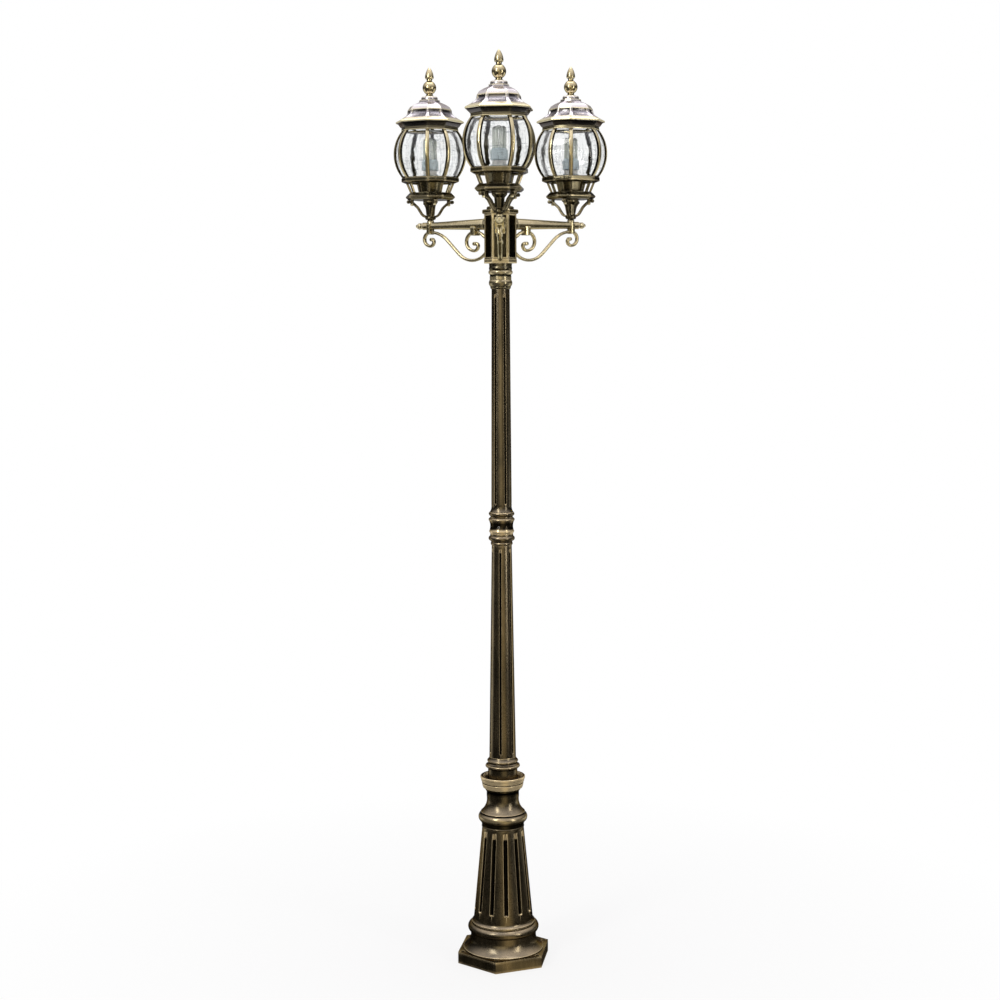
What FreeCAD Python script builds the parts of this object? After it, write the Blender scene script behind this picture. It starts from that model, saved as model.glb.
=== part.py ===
import FreeCAD, Part
import math
import os
import Sketcher

# Triple head lamp post.  Millimetres, +Z up, origin at the middle of the foot's underside,
# the front arm points along -Y and the two others stand at 120 degrees to it.

doc = FreeCAD.newDocument("LampPost")
Vec = FreeCAD.Vector
UP = Vec(0, 0, 1)
ORIGIN = Vec(0, 0, 0)

SIZES = {
    # fits shared by all pieces, and the size of blocks that only cut
    "cut_block": 400.0,
    "seat_gap": 0.1, "run_gap": 0.05, "wire_bore": 3.5, "drill_long": 6000.0,
    # foot
    "plate_corner": 126.0, "plate_thick": 30.0, "plate_chamfer": 1.6, "plate_turn": 8.7,
    "bolt_circle_rad": 113.0, "bolt_hole_rad": 4.5,
    "bell_ring_rad": 104.0, "bell_ring_high": 3.0, "bell_top_rad": 100.0,
    "waist_rad": 85.0, "waist_level": 31.5, "torus_low_level": 13.5,
    "torus_top_rad": 84.0, "torus_top_level": 22.0,
    "foot_seam_rad": 81.0, "foot_top": 2.0, "foot_hollow_rad": 92.0, "foot_hollow_high": 20.0,
    "foot_core_rad": 74.0, "foot_core_level": -17.0, "spigot_rad": 60.0, "spigot_high": 6.0,
    # pedestal column
    "column_base_rad": 82.0, "column_base_high": 3.5, "column_low_rad": 76.6,
    "column_low_level": 14.0, "column_top_rad": 54.0, "column_top": 239.0,
    "column_bore_rad": 44.0, "slot_low": 9.0, "slot_high": -35.0, "slot_point": 22.0,
    "slot_wide": 14.0, "slot_ball": 8.0, "slot_count": 12, "slot_turn": 6.5,
    # pedestal cup
    "cup_bead_high": 5.0, "cup_flare_rad": 56.5, "cup_flare_level": 15.0,
    "cup_torus_top_rad": 58.0, "cup_torus_top": 23.0,
    "cup_groove_rad": 56.0, "cup_cove_rad": 57.5, "cup_cove_level": 3.0,
    "cup_neck_rad": 42.0, "cup_neck_level": 41.0, "cup_step_level": 13.0,
    "cup_step_rad": 46.7, "cup_band_level": 10.0, "cup_band_rad": 51.0,
    "cup_lip_rad": 57.8, "cup_rim": 30.5, "cup_mouth_rad": 50.0,
    "cup_floor": 2.0, "cup_hollow_rad": 34.0, "cup_web": 12.0,
    # tie pipe and its nuts
    "pipe_rad": 8.0, "pipe_over": 16.0, "nut_flats": 27.0, "nut_high": 8.0,
    "washer_rad": 17.0, "washer_thick": 2.5,
    # grub screws
    "grub_rad": 3.0, "grub_key_flats": 3.0, "grub_key_deep": 3.0, "cup_grub_level": 9.0,
    # lower collar
    "flange_rad": 46.0, "flange_top": 20.5, "stub_rad": 38.0, "stub_top": 27.5,
    "collar_bead_rad": 43.3, "collar_bead_level": 7.0, "collar_neck_rad": 36.5,
    "collar_neck_level": 7.5, "collar_ring_rad": 38.8, "collar_ring_level": 6.0,
    "collar_bore_rad": 24.0, "collar_spigot_rad": 26.0, "collar_spigot_high": 22.0,
    # lower post
    "low_post_base": 10.5, "low_post_base_rad": 34.4, "low_post_top": 551.0,
    "low_post_top_rad": 25.7, "low_post_bore": 21.5, "low_flute_start": 10.0,
    "low_flute_end": 8.0, "low_flute_turn": -8.0,
    # flutes of both posts
    "flute_wide": 6.5, "flute_ball": 4.0, "flute_point": 9.0, "flute_count": 6,
    # cap ring of the lower post
    "cap_spigot": 21.0, "cap_bead_rad": 26.8, "cap_bead_high": 8.0, "cap_ring_rad": 33.2,
    "cap_ring_low": 12.5, "cap_ring_high": 11.0, "cap_groove_rad": 29.4, "cap_top": 6.0,
    "joint_spigot_rad": 22.0, "joint_bore": 14.0, "cap_spigot_up": 26.0,
    # coupling sleeve
    "sleeve_low_rad": 31.4, "sleeve_low_level": 7.5, "sleeve_mid_rad": 29.2,
    "sleeve_mid_level": 15.0, "sleeve_high_rad": 32.7, "sleeve_high_level": 15.0,
    "sleeve_top": 5.0, "sleeve_top_rad": 28.6, "sleeve_grub_level": -4.0,
    "sleeve_grub_turn": -14.0,
    # upper post
    "foot_spigot": 14.0, "foot_ring_rad": 32.9, "foot_ring_low": 4.5, "foot_ring_high": 8.5,
    "foot_flare_rad": 30.2, "up_post_base": 18.0, "up_post_base_rad": 26.0,
    "up_post_top": 546.0, "up_post_top_rad": 22.9, "up_flute_start": 3.0, "up_flute_end": 11.0,
    "up_flute_turn": 24.0,
    # top collar under the hub
    "top_spigot_deep": 20.0, "top_bead_rad": 25.7, "top_bead_level": 6.0,
    "silver_rad": 29.7, "silver_low": 2.0, "silver_high": 15.0, "band_rad": 27.4,
    "band_level": 6.0, "band_groove_rad": 26.4, "band_groove_level": 6.0,
    "gold_rad": 30.7, "gold_level": 7.0, "dark_rad": 28.4, "dark_low": 6.0,
    "dark_high": 8.0, "collar_seat_rad": 28.9, "top_bore": 9.0,
    # hub
    "hub_base": 8.0, "hub_flange_high": 11.0, "hub_flange_corner": 41.2, "hub_corner": 40.5,
    "hub_panel_deep": 2.0, "hub_rib_wide": 5.0, "hub_panel_edge": 4.0, "hub_top": 123.0,
    "hub_hollow_flat": 27.0, "hub_floor": 12.0, "hub_spigot_rad": 20.0,
    "brim_corner": 45.5, "brim_high": 11.0, "brim_chamfer": 2.0, "brim_plug_rad": 26.6,
    "brim_plug_deep": 6.0, "tier_rad": 34.0, "tier_high": 7.0, "dome_high": 15.0,
    "dome_top_rad": 9.0, "knob_rad": 12.5, "knob_neck": 6.0, "knob_tip": 2.0, "knob_stud": 4.0, "knob_stud_deep": 10.0,
    # arms
    "reach": 207.5, "arm_level": 98.5, "arm_root_rad": 14.6, "arm_mid_reach": 188.0,
    "arm_end_rad": 9.3, "arm_nose_reach": 231.0, "nose_groove_rad": 6.6, "nose_groove_long": 4.0,
    "nose_bead_rad": 8.2, "nose_long": 15.5, "tenon_rad": 6.0, "arm_nut_flats": 18.0,
    "arm_nut_high": 7.0, "seat_boss_rad": 9.0, "seat_level": 10.5, "stud_rad": 4.0,
    "stud_deep": 17.0, "ferrule_rad": 18.5, "ferrule_long": 9.0,
    # scrolls and their clips
    "bar_thick": 7.6, "bar_wide": 11.0, "bar_chamfer": 1.3, "eye_rad": 4.8, "eye_wide": 15.0,
    "s_top_level": -16.0, "s_top_reach": 208.5, "s_end_turn": 5.4, "s_inner_turn": 11.0,
    "s_outer_turn": 17.6, "s_shoulder_turn": 72.0, "s_straight": 52.0, "s_belly_turn": 54.0,
    "c_top_level": -18.0, "c_top_reach": 74.5, "c_end_turn": 6.2, "c_inner_turn": 12.0,
    "c_lower_turn": 22.5, "c_outer_turn": 25.0, "c_neck_turn": 35.0, "c_neck_angle": 45.0,
    "s_clip_long": 10.0, "s_clip_wide": 23.0, "s_clip_low": -5.5, "s_clip_high": 5.5,
    "c_clip_long": 14.0, "c_clip_wide": 26.0, "c_clip_low": -9.5, "c_clip_high": -5.5,
    # lantern stand
    "stand_base_rad": 9.0, "stand_bead_rad": 13.5, "stand_bead_low": 5.5,
    "stand_bead_high": 9.0, "stem_low": 2.0, "stem_low_rad": 10.8, "stem_high": 24.5,
    "stem_high_rad": 13.2, "cone_rad": 18.7, "cone_level": 8.0, "stand_top": 6.0,
    "nipple_rad": 6.0, "nipple_up": 56.0,
    "bracket_thick": 5.6, "bracket_wide": 8.5, "bracket_reach": 57.0, "bracket_level": -5.0,
    "bracket_bend": 9.0, "bracket_angle": 42.0, "bracket_run": 15.0, "bracket_hip": 22.0,
    "bracket_hip_angle": 16.0, "bracket_leg": 14.0, "bracket_foot": 18.0, "tab_rad": 4.6,
    "bracket_screw_rad": 2.5, "bracket_head_rad": 4.2, "bracket_head_high": 3.2,
    "bracket_screw_reach": 48.0, "bracket_seat": 4.0, "bracket_cover": 10.0,
    # eight-sided lantern body
    "front_spin": -5.3, "right_spin": -4.2, "left_spin": 1.1,
    "corner_angle": 27.0, "flange_low_corner": 56.3, "flange_edge_corner": 63.0,
    "flange_edge_low": 5.5, "flange_edge_high": 3.0, "flange_shelf_corner": 53.5,
    "flange_shelf": 9.5, "gallery_low_corner": 51.6, "gallery_high_corner": 62.5,
    "gallery_wall": 4.5, "gallery_post": 7.0, "ring_low": 24.0, "ring_edge_low": 4.0,
    "ring_edge_high": 8.0, "ring_high": 3.0, "ring_low_corner": 64.0,
    "ring_edge_corner": 73.8, "ring_open_corner": 57.0,
    "lamp_cup_low": 26.0, "lamp_cup_high": 32.5, "lamp_cup_top": 5.0, "lamp_cup_wall": 2.0,
    "glass_end_corner": 69.5, "glass_belly_corner": 90.0, "glass_top": 116.5, "glass_thick": 3.0,
    "rib_out": 2.6, "rib_in": 2.6, "rib_wide": 7.0,
    "cage_ring_corner": 73.4, "cage_ring_open": 62.0, "cage_ring_bead": 1.4,
    # lampholder and bulb
    "socket_base": 6.0, "socket_rad": 15.0, "socket_skirt": 16.7, "socket_top": 50.0,
    "socket_well": 13.3, "socket_well_deep": 30.0, "bulb_cap_rad": 13.2, "bulb_base": 1.0,
    "bulb_body_rad": 21.2, "bulb_body_top": 28.0, "bulb_shoulder": 7.0, "tube_rad": 4.7,
    "tube_ring": 11.2, "tube_top": 52.0,
    # roof
    "eave_low": 8.5, "eave_low_corner": 74.5, "eave_lip_corner": 81.0, "eave_lip": 9.0,
    "brim_edge_corner_wide": 87.4, "brim_edge": 3.5, "brim_slope": 11.5,
    "brim_slope_corner": 69.8, "cove_low": 9.0, "cove_corner": 57.0, "cove_high": 10.0,
    "shoulder_corner": 55.6, "shoulder_mid": 9.0, "shoulder_mid_corner": 50.5,
    "shoulder_high": 7.0, "shoulder_high_corner": 38.0, "roof_tier": 5.0,
    "roof_tier_corner": 26.4, "roof_tier_high": 5.0, "roof_collar_corner": 21.0,
    "roof_top": 8.0, "roof_wall": 3.2, "roof_hole": 5.2,
    # bridge under the roof
    "bridge_level": 3.5, "bridge_thick": 3.0, "bridge_wide": 12.0, "bridge_stud": 4.0,
    "stud_top": 13.0,
    # finial
    "finial_neck": 8.3, "finial_base_rad": 12.0, "finial_ball_level": 23.0,
    "finial_ball_rad": 17.4, "finial_waist": 6.9,
    "spike_level": 22.0, "spike_rad": 11.2, "spike_belly": 4.0, "spike_tip": 26.0,
}

# Each level in the sheet is its rise over the level named here, so pieces keep their seats.
RISES_FROM = {
    "waist_level": "plate_thick", "torus_low_level": "waist_level",
    "torus_top_level": "torus_low_level", "foot_top": "torus_top_level",
    "foot_core_level": "foot_top", "column_low_level": "foot_top", "column_top": "column_low_level",
    "slot_low": "column_low_level", "slot_high": "column_top", "cup_flare_level": "column_top",
    "cup_torus_top": "cup_flare_level", "cup_cove_level": "cup_torus_top",
    "cup_neck_level": "cup_cove_level", "cup_step_level": "cup_neck_level",
    "cup_band_level": "cup_step_level", "cup_rim": "cup_band_level", "cup_floor": "cup_band_level",
    "cup_grub_level": "cup_floor", "flange_top": "cup_floor", "stub_top": "flange_top",
    "collar_bead_level": "stub_top", "collar_neck_level": "collar_bead_level",
    "collar_ring_level": "collar_neck_level", "low_post_base": "collar_ring_level",
    "low_post_top": "low_post_base", "cap_ring_low": "low_post_top",
    "cap_ring_high": "cap_ring_low", "cap_top": "cap_ring_high", "sleeve_low_level": "cap_top",
    "sleeve_mid_level": "sleeve_low_level", "sleeve_high_level": "sleeve_mid_level",
    "sleeve_top": "sleeve_high_level", "sleeve_grub_level": "sleeve_mid_level",
    "foot_ring_low": "sleeve_top", "foot_ring_high": "foot_ring_low",
    "up_post_base": "foot_ring_high", "up_post_top": "up_post_base",
    "top_bead_level": "up_post_top", "silver_low": "top_bead_level", "silver_high": "silver_low",
    "band_level": "silver_high", "band_groove_level": "band_level",
    "gold_level": "band_groove_level", "dark_low": "gold_level", "dark_high": "dark_low",
    "hub_base": "dark_high", "hub_top": "hub_base", "arm_level": "hub_base",
    "seat_level": "arm_level", "s_top_level": "arm_level", "c_top_level": "arm_level",
    "s_clip_low": "s_top_level", "s_clip_high": "arm_level", "c_clip_low": "c_top_level",
    "c_clip_high": "arm_level", "stand_bead_low": "seat_level", "stand_bead_high": "stand_bead_low",
    "stem_low": "stand_bead_high", "stem_high": "stem_low", "cone_level": "stem_high",
    "stand_top": "cone_level", "bracket_level": "stand_top", "flange_edge_low": "stand_top",
    "flange_edge_high": "flange_edge_low", "flange_shelf": "flange_edge_high",
    "ring_low": "flange_shelf", "ring_edge_low": "ring_low", "ring_edge_high": "ring_edge_low",
    "ring_high": "ring_edge_high", "lamp_cup_top": "ring_low", "glass_top": "ring_high",
    "socket_base": "flange_shelf", "socket_top": "socket_base", "bulb_base": "socket_top",
    "bulb_body_top": "bulb_base", "tube_top": "bulb_body_top", "eave_low": "glass_top",
    "eave_lip": "eave_low", "brim_edge": "eave_lip", "brim_slope": "brim_edge",
    "cove_low": "brim_slope", "cove_high": "cove_low", "shoulder_mid": "cove_high",
    "shoulder_high": "shoulder_mid", "roof_tier": "shoulder_high", "roof_tier_high": "roof_tier",
    "roof_top": "roof_tier_high", "bridge_level": "glass_top", "stud_top": "roof_top",
    "finial_ball_level": "roof_top", "spike_level": "finial_ball_level",
    "spike_belly": "spike_level", "spike_tip": "spike_belly",
}

sheet = doc.addObject("Spreadsheet::Sheet", "Sizes")
for row, (word, number) in enumerate(SIZES.items(), start=1):
    sheet.set("A%d" % row, word)
    sheet.set("B%d" % row, repr(float(number)))
    sheet.setAlias("B%d" % row, word)
doc.recompute()


class Size:
    """A length held with the expression that gives it."""

    def __init__(self, value, text):
        self.value = float(value)
        self.text = text

    def __add__(self, other):
        other = as_size(other)
        return Size(self.value + other.value, "(%s + %s)" % (self.text, other.text))

    def __sub__(self, other):
        other = as_size(other)
        return Size(self.value - other.value, "(%s - %s)" % (self.text, other.text))

    def __mul__(self, factor):
        return Size(self.value * factor, "(%s * %.9f)" % (self.text, factor))


def as_size(number):
    if isinstance(number, Size):
        return number
    return Size(number, "(%.6f)" % number)


class Cells:
    """Reads the sheet: S.word is a Size, v.word is a plain number."""

    def __init__(self, plain):
        self.plain = plain

    def __getattr__(self, word):
        value = float(sheet.get(word))
        size = value if self.plain else Size(value, "Sizes.%s" % word)
        if word in RISES_FROM:
            size = getattr(self, RISES_FROM[word]) + size
        return size


S = Cells(False)
v = Cells(True)


def plane_of(body, role):
    return [item for item in body.Origin.OriginFeatures if item.Role == role][0]


def new_sketch(body, label, role):
    sketch = body.newObject("Sketcher::SketchObject", label)
    sketch.AttachmentSupport = [(plane_of(body, role), "")]
    sketch.MapMode = "FlatFace"
    return sketch


def pin(sketch, index, spot, across, level):
    """Fixes one end of an edge by two measures from the sketch's origin."""
    across = as_size(across)
    level = as_size(level)
    if across.value == 0.0:
        sketch.addConstraint(Sketcher.Constraint("PointOnObject", index, spot, -2))
    else:
        name = "x%d" % sketch.ConstraintCount
        number = sketch.addConstraint(
            Sketcher.Constraint("DistanceX", -1, 1, index, spot, across.value))
        sketch.renameConstraint(number, name)
        sketch.setExpression("Constraints." + name, across.text)
    if level.value == 0.0:
        sketch.addConstraint(Sketcher.Constraint("PointOnObject", index, spot, -1))
    else:
        name = "y%d" % sketch.ConstraintCount
        number = sketch.addConstraint(
            Sketcher.Constraint("DistanceY", -1, 1, index, spot, level.value))
        sketch.renameConstraint(number, name)
        sketch.setExpression("Constraints." + name, level.text)


def outline_into(sketch, outline):
    """Draws a closed outline of (across, level) or (across, level, bulge) rows.

    The bulge belongs to the edge that arrives at the row: its height over half its chord,
    positive to the right of the way of travel."""
    rows = [(as_size(row[0]), as_size(row[1]), row[2] if len(row) > 2 else 0.0) for row in outline]
    count = len(rows)
    for index in range(count):
        start = rows[index - 1]
        end = rows[index]
        p = Vec(start[0].value, start[1].value, 0)
        q = Vec(end[0].value, end[1].value, 0)
        bulge = end[2]
        if bulge:
            half = (q - p) * 0.5
            side = Vec(half.y, -half.x, 0) * bulge
            first, last = (p, q) if bulge > 0 else (q, p)
            arc = Part.Arc(first, p + half + side, last)
            number = sketch.addGeometry(arc, False)
        else:
            number = sketch.addGeometry(Part.LineSegment(p, q), False)
    ends = []
    for index in range(count):
        edge = sketch.Geometry[index]
        p = Vec(rows[index - 1][0].value, rows[index - 1][1].value, 0)
        near = (edge.StartPoint - p).Length < (edge.EndPoint - p).Length
        ends.append((1, 2) if near else (2, 1))
    for index in range(count):
        following = (index + 1) % count
        sketch.addConstraint(Sketcher.Constraint(
            "Coincident", index, ends[index][1], following, ends[following][0]))
    for index in range(count):
        pin(sketch, index, ends[index][1], rows[index][0], rows[index][1])
    for index in range(count):
        if rows[index][2]:
            radius = sketch.Geometry[index].Radius
            sketch.addConstraint(Sketcher.Constraint("Radius", index, radius))


def turned(label, outline):
    """A piece turned about its upright axis."""
    body = doc.addObject("PartDesign::Body", label)
    body.Label = label
    sketch = new_sketch(body, label + "_profile", "XZ_Plane")
    outline_into(sketch, outline)
    spin = body.newObject("PartDesign::Revolution", label + "_turning")
    spin.Profile = sketch
    spin.ReferenceAxis = (sketch, ["V_Axis"])
    spin.Angle = 360
    body.Tip = spin
    doc.recompute()
    return body


def polygon_rows(sides, corner, first=0.0):
    rows = []
    for index in range(sides):
        angle = math.radians(first + 360.0 * index / sides)
        rows.append((corner * math.cos(angle), corner * math.sin(angle)))
    return rows


def prism(body, label, rows, base, high):
    """Adds a straight prism to a body; the rows lie in the level plane."""
    sketch = new_sketch(body, label + "_sketch", "XY_Plane")
    outline_into(sketch, rows)
    sketch.setExpression("AttachmentOffset.Base.z", as_size(base).text)
    pad = body.newObject("PartDesign::Pad", label)
    pad.Profile = sketch
    pad.setExpression("Length", as_size(high).text)
    body.Tip = pad
    doc.recompute()
    return pad


def cut_turned(body, label, outline):
    """Takes a turned hollow, square to the body's upright axis, out of a body."""
    sketch = new_sketch(body, label + "_sketch", "XZ_Plane")
    outline_into(sketch, outline)
    before = body.Shape.Volume
    groove = body.newObject("PartDesign::Groove", label)
    groove.Profile = sketch
    groove.ReferenceAxis = (sketch, ["V_Axis"])
    groove.Angle = 360
    body.Tip = groove
    doc.recompute()
    assert body.Shape.Volume < before, label
    return groove


def drill(body, label, reach, radius, copies):
    """Drills upright holes through the whole body on a circle."""
    sketch = new_sketch(body, label + "_sketch", "XY_Plane")
    number = sketch.addGeometry(Part.Circle(Vec(reach.value, 0, 0), UP, radius.value), False)
    if reach.value:
        sketch.addConstraint(Sketcher.Constraint("PointOnObject", number, 3, -1))
        index = sketch.addConstraint(
            Sketcher.Constraint("DistanceX", -1, 1, number, 3, reach.value))
        sketch.renameConstraint(index, "reach")
        sketch.setExpression("Constraints.reach", reach.text)
    else:
        sketch.addConstraint(Sketcher.Constraint("Coincident", number, 3, -1, 1))
    index = sketch.addConstraint(Sketcher.Constraint("Radius", number, radius.value))
    sketch.renameConstraint(index, "size")
    sketch.setExpression("Constraints.size", radius.text)
    before = body.Shape.Volume
    hole = body.newObject("PartDesign::Pocket", label)
    hole.Profile = sketch
    hole.setExpression("Length", "Sizes.drill_long")
    hole.Midplane = True
    body.Tip = hole
    doc.recompute()
    if copies > 1:
        ring_of(body, hole, copies)
    assert body.Shape.Volume < before, label


def ring_of(body, feature, copies):
    ring = body.newObject("PartDesign::PolarPattern", feature.Label + "_ring")
    ring.Originals = [feature]
    ring.Axis = (plane_of(body, "Z_Axis"), [""])
    ring.Angle = 360
    ring.Occurrences = copies
    body.Tip = ring
    doc.recompute()


def flutes(body, label, low, high, ball, wide, first_point, last_point, copies):
    """Cuts long round-bottomed flutes that follow the taper of a body.

    low and high are (radius, level) on the surface where the flute is at full width; the
    ends run out over the given lengths."""
    sag = math.sqrt(ball ** 2 - (wide / 2.0) ** 2)
    lean = math.atan2(low[0] - high[0], high[1] - low[1])
    out = Vec(math.cos(lean), 0, math.sin(lean))
    along = Vec(-math.sin(lean), 0, math.cos(lean))
    start = Vec(low[0], 0, low[1]) + out * sag
    end = Vec(high[0], 0, high[1]) + out * sag
    rows = [start - along * first_point, start - out * ball, end - out * ball,
            end + along * last_point]
    sketch = new_sketch(body, label + "_sketch", "XZ_Plane")
    if first_point == ball:
        mid = start - (along + out) * (ball / math.sqrt(2.0))
        flat = [Vec(p.x, p.z, 0) for p in (rows[1], mid, rows[0])]
        sketch.addGeometry(Part.Arc(*flat), False)
    else:
        sketch.addGeometry(Part.LineSegment(*[Vec(p.x, p.z, 0) for p in rows[0:2]]), False)
    sketch.addGeometry(Part.LineSegment(*[Vec(p.x, p.z, 0) for p in rows[1:3]]), False)
    sketch.addGeometry(Part.LineSegment(*[Vec(p.x, p.z, 0) for p in rows[2:4]]), False)
    sketch.addGeometry(Part.LineSegment(Vec(rows[3].x, rows[3].z, 0),
                                        Vec(rows[0].x, rows[0].z, 0)), False)
    axis = sketch.addGeometry(Part.LineSegment(Vec(rows[0].x, rows[0].z, 0),
                                               Vec(rows[3].x, rows[3].z, 0)), True)
    for index in range(axis + 1):
        sketch.addConstraint(Sketcher.Constraint("Block", index))
    before = body.Shape.Volume
    groove = body.newObject("PartDesign::Groove", label)
    groove.Profile = sketch
    groove.ReferenceAxis = (sketch, ["Axis0"])
    groove.Angle = 360
    body.Tip = groove
    doc.recompute()
    ring_of(body, groove, copies)
    assert body.Shape.Volume < before, label


def place(item, turn, reach=0.0, spin=0.0):
    """Turns a piece about the post, moves it out along its arm and spins it there."""
    angle = math.radians(turn)
    base = Vec(reach * math.sin(angle), -reach * math.cos(angle), 0)
    item.Placement = FreeCAD.Placement(base, FreeCAD.Rotation(UP, turn + spin))


def feature(label, shape):
    item = doc.addObject("Part::Feature", label)
    item.Label = label
    item.Shape = shape
    return item


def wire_of(points):
    return Part.makePolygon(list(points) + [points[0]])


def solid_prism(points, way):
    return Part.Face(wire_of(points)).extrude(way)


NODES = []
ARMS = (("front", 0.0), ("right", 120.0), ("left", -120.0))
# each lantern is tightened on its stud a little off its arm's line
LANTERN_SPIN = {"front": v.front_spin, "right": v.right_spin, "left": v.left_spin}

# ------------------------------------------------------------------ foot and pedestal
foot = doc.addObject("PartDesign::Body", "foot_casting")
foot.Label = "foot_casting"
plate = prism(foot, "plate", polygon_rows(6, S.plate_corner), 0.0, S.plate_thick)
top_edges = []
for number, edge in enumerate(plate.Shape.Edges, start=1):
    if min(p.Point.z for p in edge.Vertexes) > v.plate_thick / 2.0:
        top_edges.append("Edge%d" % number)
bevel = foot.newObject("PartDesign::Chamfer", "plate_bevel")
bevel.Base = (plate, top_edges)
bevel.setExpression("Size", "Sizes.plate_chamfer")
foot.Tip = bevel
doc.recompute()
bell_sketch = new_sketch(foot, "bell_profile", "XZ_Plane")
outline_into(bell_sketch, [
    (0.0, S.plate_thick * 0.5), (S.bell_ring_rad, S.plate_thick * 0.5),
    (S.bell_ring_rad, S.plate_thick + S.bell_ring_high),
    (S.bell_top_rad, S.plate_thick + S.bell_ring_high * 1.6),
    (S.waist_rad, S.waist_level, -0.22),
    (S.waist_rad, S.torus_low_level),
    (S.torus_top_rad, S.torus_top_level, 0.7),
    (S.foot_seam_rad, S.torus_top_level),
    (S.foot_seam_rad, S.foot_top), (S.spigot_rad, S.foot_top),
    (S.spigot_rad, S.foot_top + S.spigot_high), (0.0, S.foot_top + S.spigot_high)])
bell = foot.newObject("PartDesign::Revolution", "bell")
bell.Profile = bell_sketch
bell.ReferenceAxis = (bell_sketch, ["V_Axis"])
bell.Angle = 360
foot.Tip = bell
doc.recompute()
cut_turned(foot, "underside", [
    (0.0, 0.0), (S.foot_hollow_rad, 0.0), (S.foot_hollow_rad, S.foot_hollow_high),
    (S.foot_core_rad, S.foot_core_level * 0.5), (S.foot_core_rad, S.foot_core_level),
    (0.0, S.foot_core_level)])
drill(foot, "pipe_hole", as_size(0.0), S.pipe_rad + S.seat_gap, 1)
drill(foot, "bolt_holes", S.bolt_circle_rad, S.bolt_hole_rad, 6)
place(foot, -v.plate_turn - 90.0)
NODES.append(foot)

column = turned("pedestal_column", [
    (S.spigot_rad + S.seat_gap, S.foot_top), (S.column_base_rad, S.foot_top),
    (S.column_base_rad, S.foot_top + S.column_base_high),
    (S.column_low_rad, S.column_low_level, -0.35),
    (S.column_top_rad, S.column_top), (S.column_bore_rad + S.seat_gap, S.column_top),
    (S.column_bore_rad + S.seat_gap, S.column_top - S.spigot_high * 3.0),
    (S.spigot_rad + S.seat_gap, S.column_low_level)])
slope = (v.column_low_rad - v.column_top_rad) / (v.column_top - v.column_low_level)


def column_rad(level):
    return v.column_low_rad - slope * (level - v.column_low_level)


flutes(column, "slots", (column_rad(v.slot_low + v.slot_ball), v.slot_low + v.slot_ball),
       (column_rad(v.slot_high), v.slot_high), v.slot_ball, v.slot_wide, v.slot_ball,
       v.slot_point, int(v.slot_count))
place(column, v.slot_turn - 90.0)
NODES.append(column)

cup = turned("pedestal_cup_turned", [
    (S.pipe_rad + S.seat_gap, S.cup_floor), (S.pipe_rad + S.seat_gap, S.cup_floor - S.cup_web),
    (S.cup_hollow_rad, S.cup_floor - S.cup_web), (S.cup_hollow_rad, S.column_top - S.spigot_high),
    (S.column_bore_rad, S.column_top - S.spigot_high), (S.column_bore_rad, S.column_top),
    (S.column_top_rad, S.column_top),
    (S.column_top_rad, S.column_top + S.cup_bead_high, 0.5),
    (S.cup_flare_rad, S.cup_flare_level),
    (S.cup_torus_top_rad, S.cup_torus_top, 0.55),
    (S.cup_groove_rad, S.cup_torus_top),
    (S.cup_groove_rad, S.cup_cove_level), (S.cup_cove_rad, S.cup_cove_level),
    (S.cup_neck_rad, S.cup_neck_level, -0.28),
    (S.cup_neck_rad, S.cup_step_level), (S.cup_step_rad, S.cup_band_level - 2.0, 0.15),
    (S.cup_band_rad, S.cup_band_level), (S.cup_lip_rad - 1.2, S.cup_rim - 6.5, 0.12),
    (S.cup_lip_rad, S.cup_rim - 5.5), (S.cup_lip_rad, S.cup_rim - 1.0),
    (S.cup_lip_rad - 1.0, S.cup_rim), (S.cup_mouth_rad, S.cup_rim),
    (S.flange_rad + S.seat_gap, S.cup_rim - 7.0), (S.flange_rad + S.seat_gap, S.cup_floor)])


def radial_cutters(level, turn, radius, inner, outer):
    """Three round bars pointing outward, for the grub screws and their holes."""
    bars = []
    for step in range(3):
        angle = math.radians(turn + 120.0 * step)
        way = Vec(math.sin(angle), -math.cos(angle), 0)
        bars.append(Part.makeCylinder(radius, outer - inner, way * inner + UP * level, way))
    return bars


cup_bars = feature("cup_screw_holes", Part.makeCompound(radial_cutters(
    v.cup_grub_level, 0.0, v.grub_rad + v.run_gap, v.cup_neck_rad, v.cup_lip_rad + 5.0)))
cup_cut = doc.addObject("Part::Cut", "pedestal_cup")
cup_cut.Base = cup
cup_cut.Tool = cup_bars
cup_cut.Label = "pedestal_cup"
NODES.append(cup_cut)

tie = turned("tie_rod", [
    (S.wire_bore * 1.5, S.foot_core_level - S.pipe_over),
    (S.pipe_rad, S.foot_core_level - S.pipe_over), (S.pipe_rad, S.cup_floor + S.pipe_over),
    (S.wire_bore * 1.5, S.cup_floor + S.pipe_over)])
NODES.append(tie)


def nut_shape(flats, high, bore, base, way):
    """A hexagon nut standing on base, its thread hole along way."""
    corner = flats / math.sqrt(3.0)
    ring = [Vec(corner * math.cos(math.radians(60 * k)), corner * math.sin(math.radians(60 * k)), 0)
            for k in range(6)]
    nut = solid_prism(ring, UP * high)
    nut = nut.cut(Part.makeCylinder(bore, high))
    nut.Placement = FreeCAD.Placement(base, FreeCAD.Rotation(UP, way))
    return nut


def washer_shape(radius, thick, bore, level):
    ring = Part.makeCylinder(radius, thick, UP * level)
    return ring.cut(Part.makeCylinder(bore, thick, UP * level))


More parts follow.
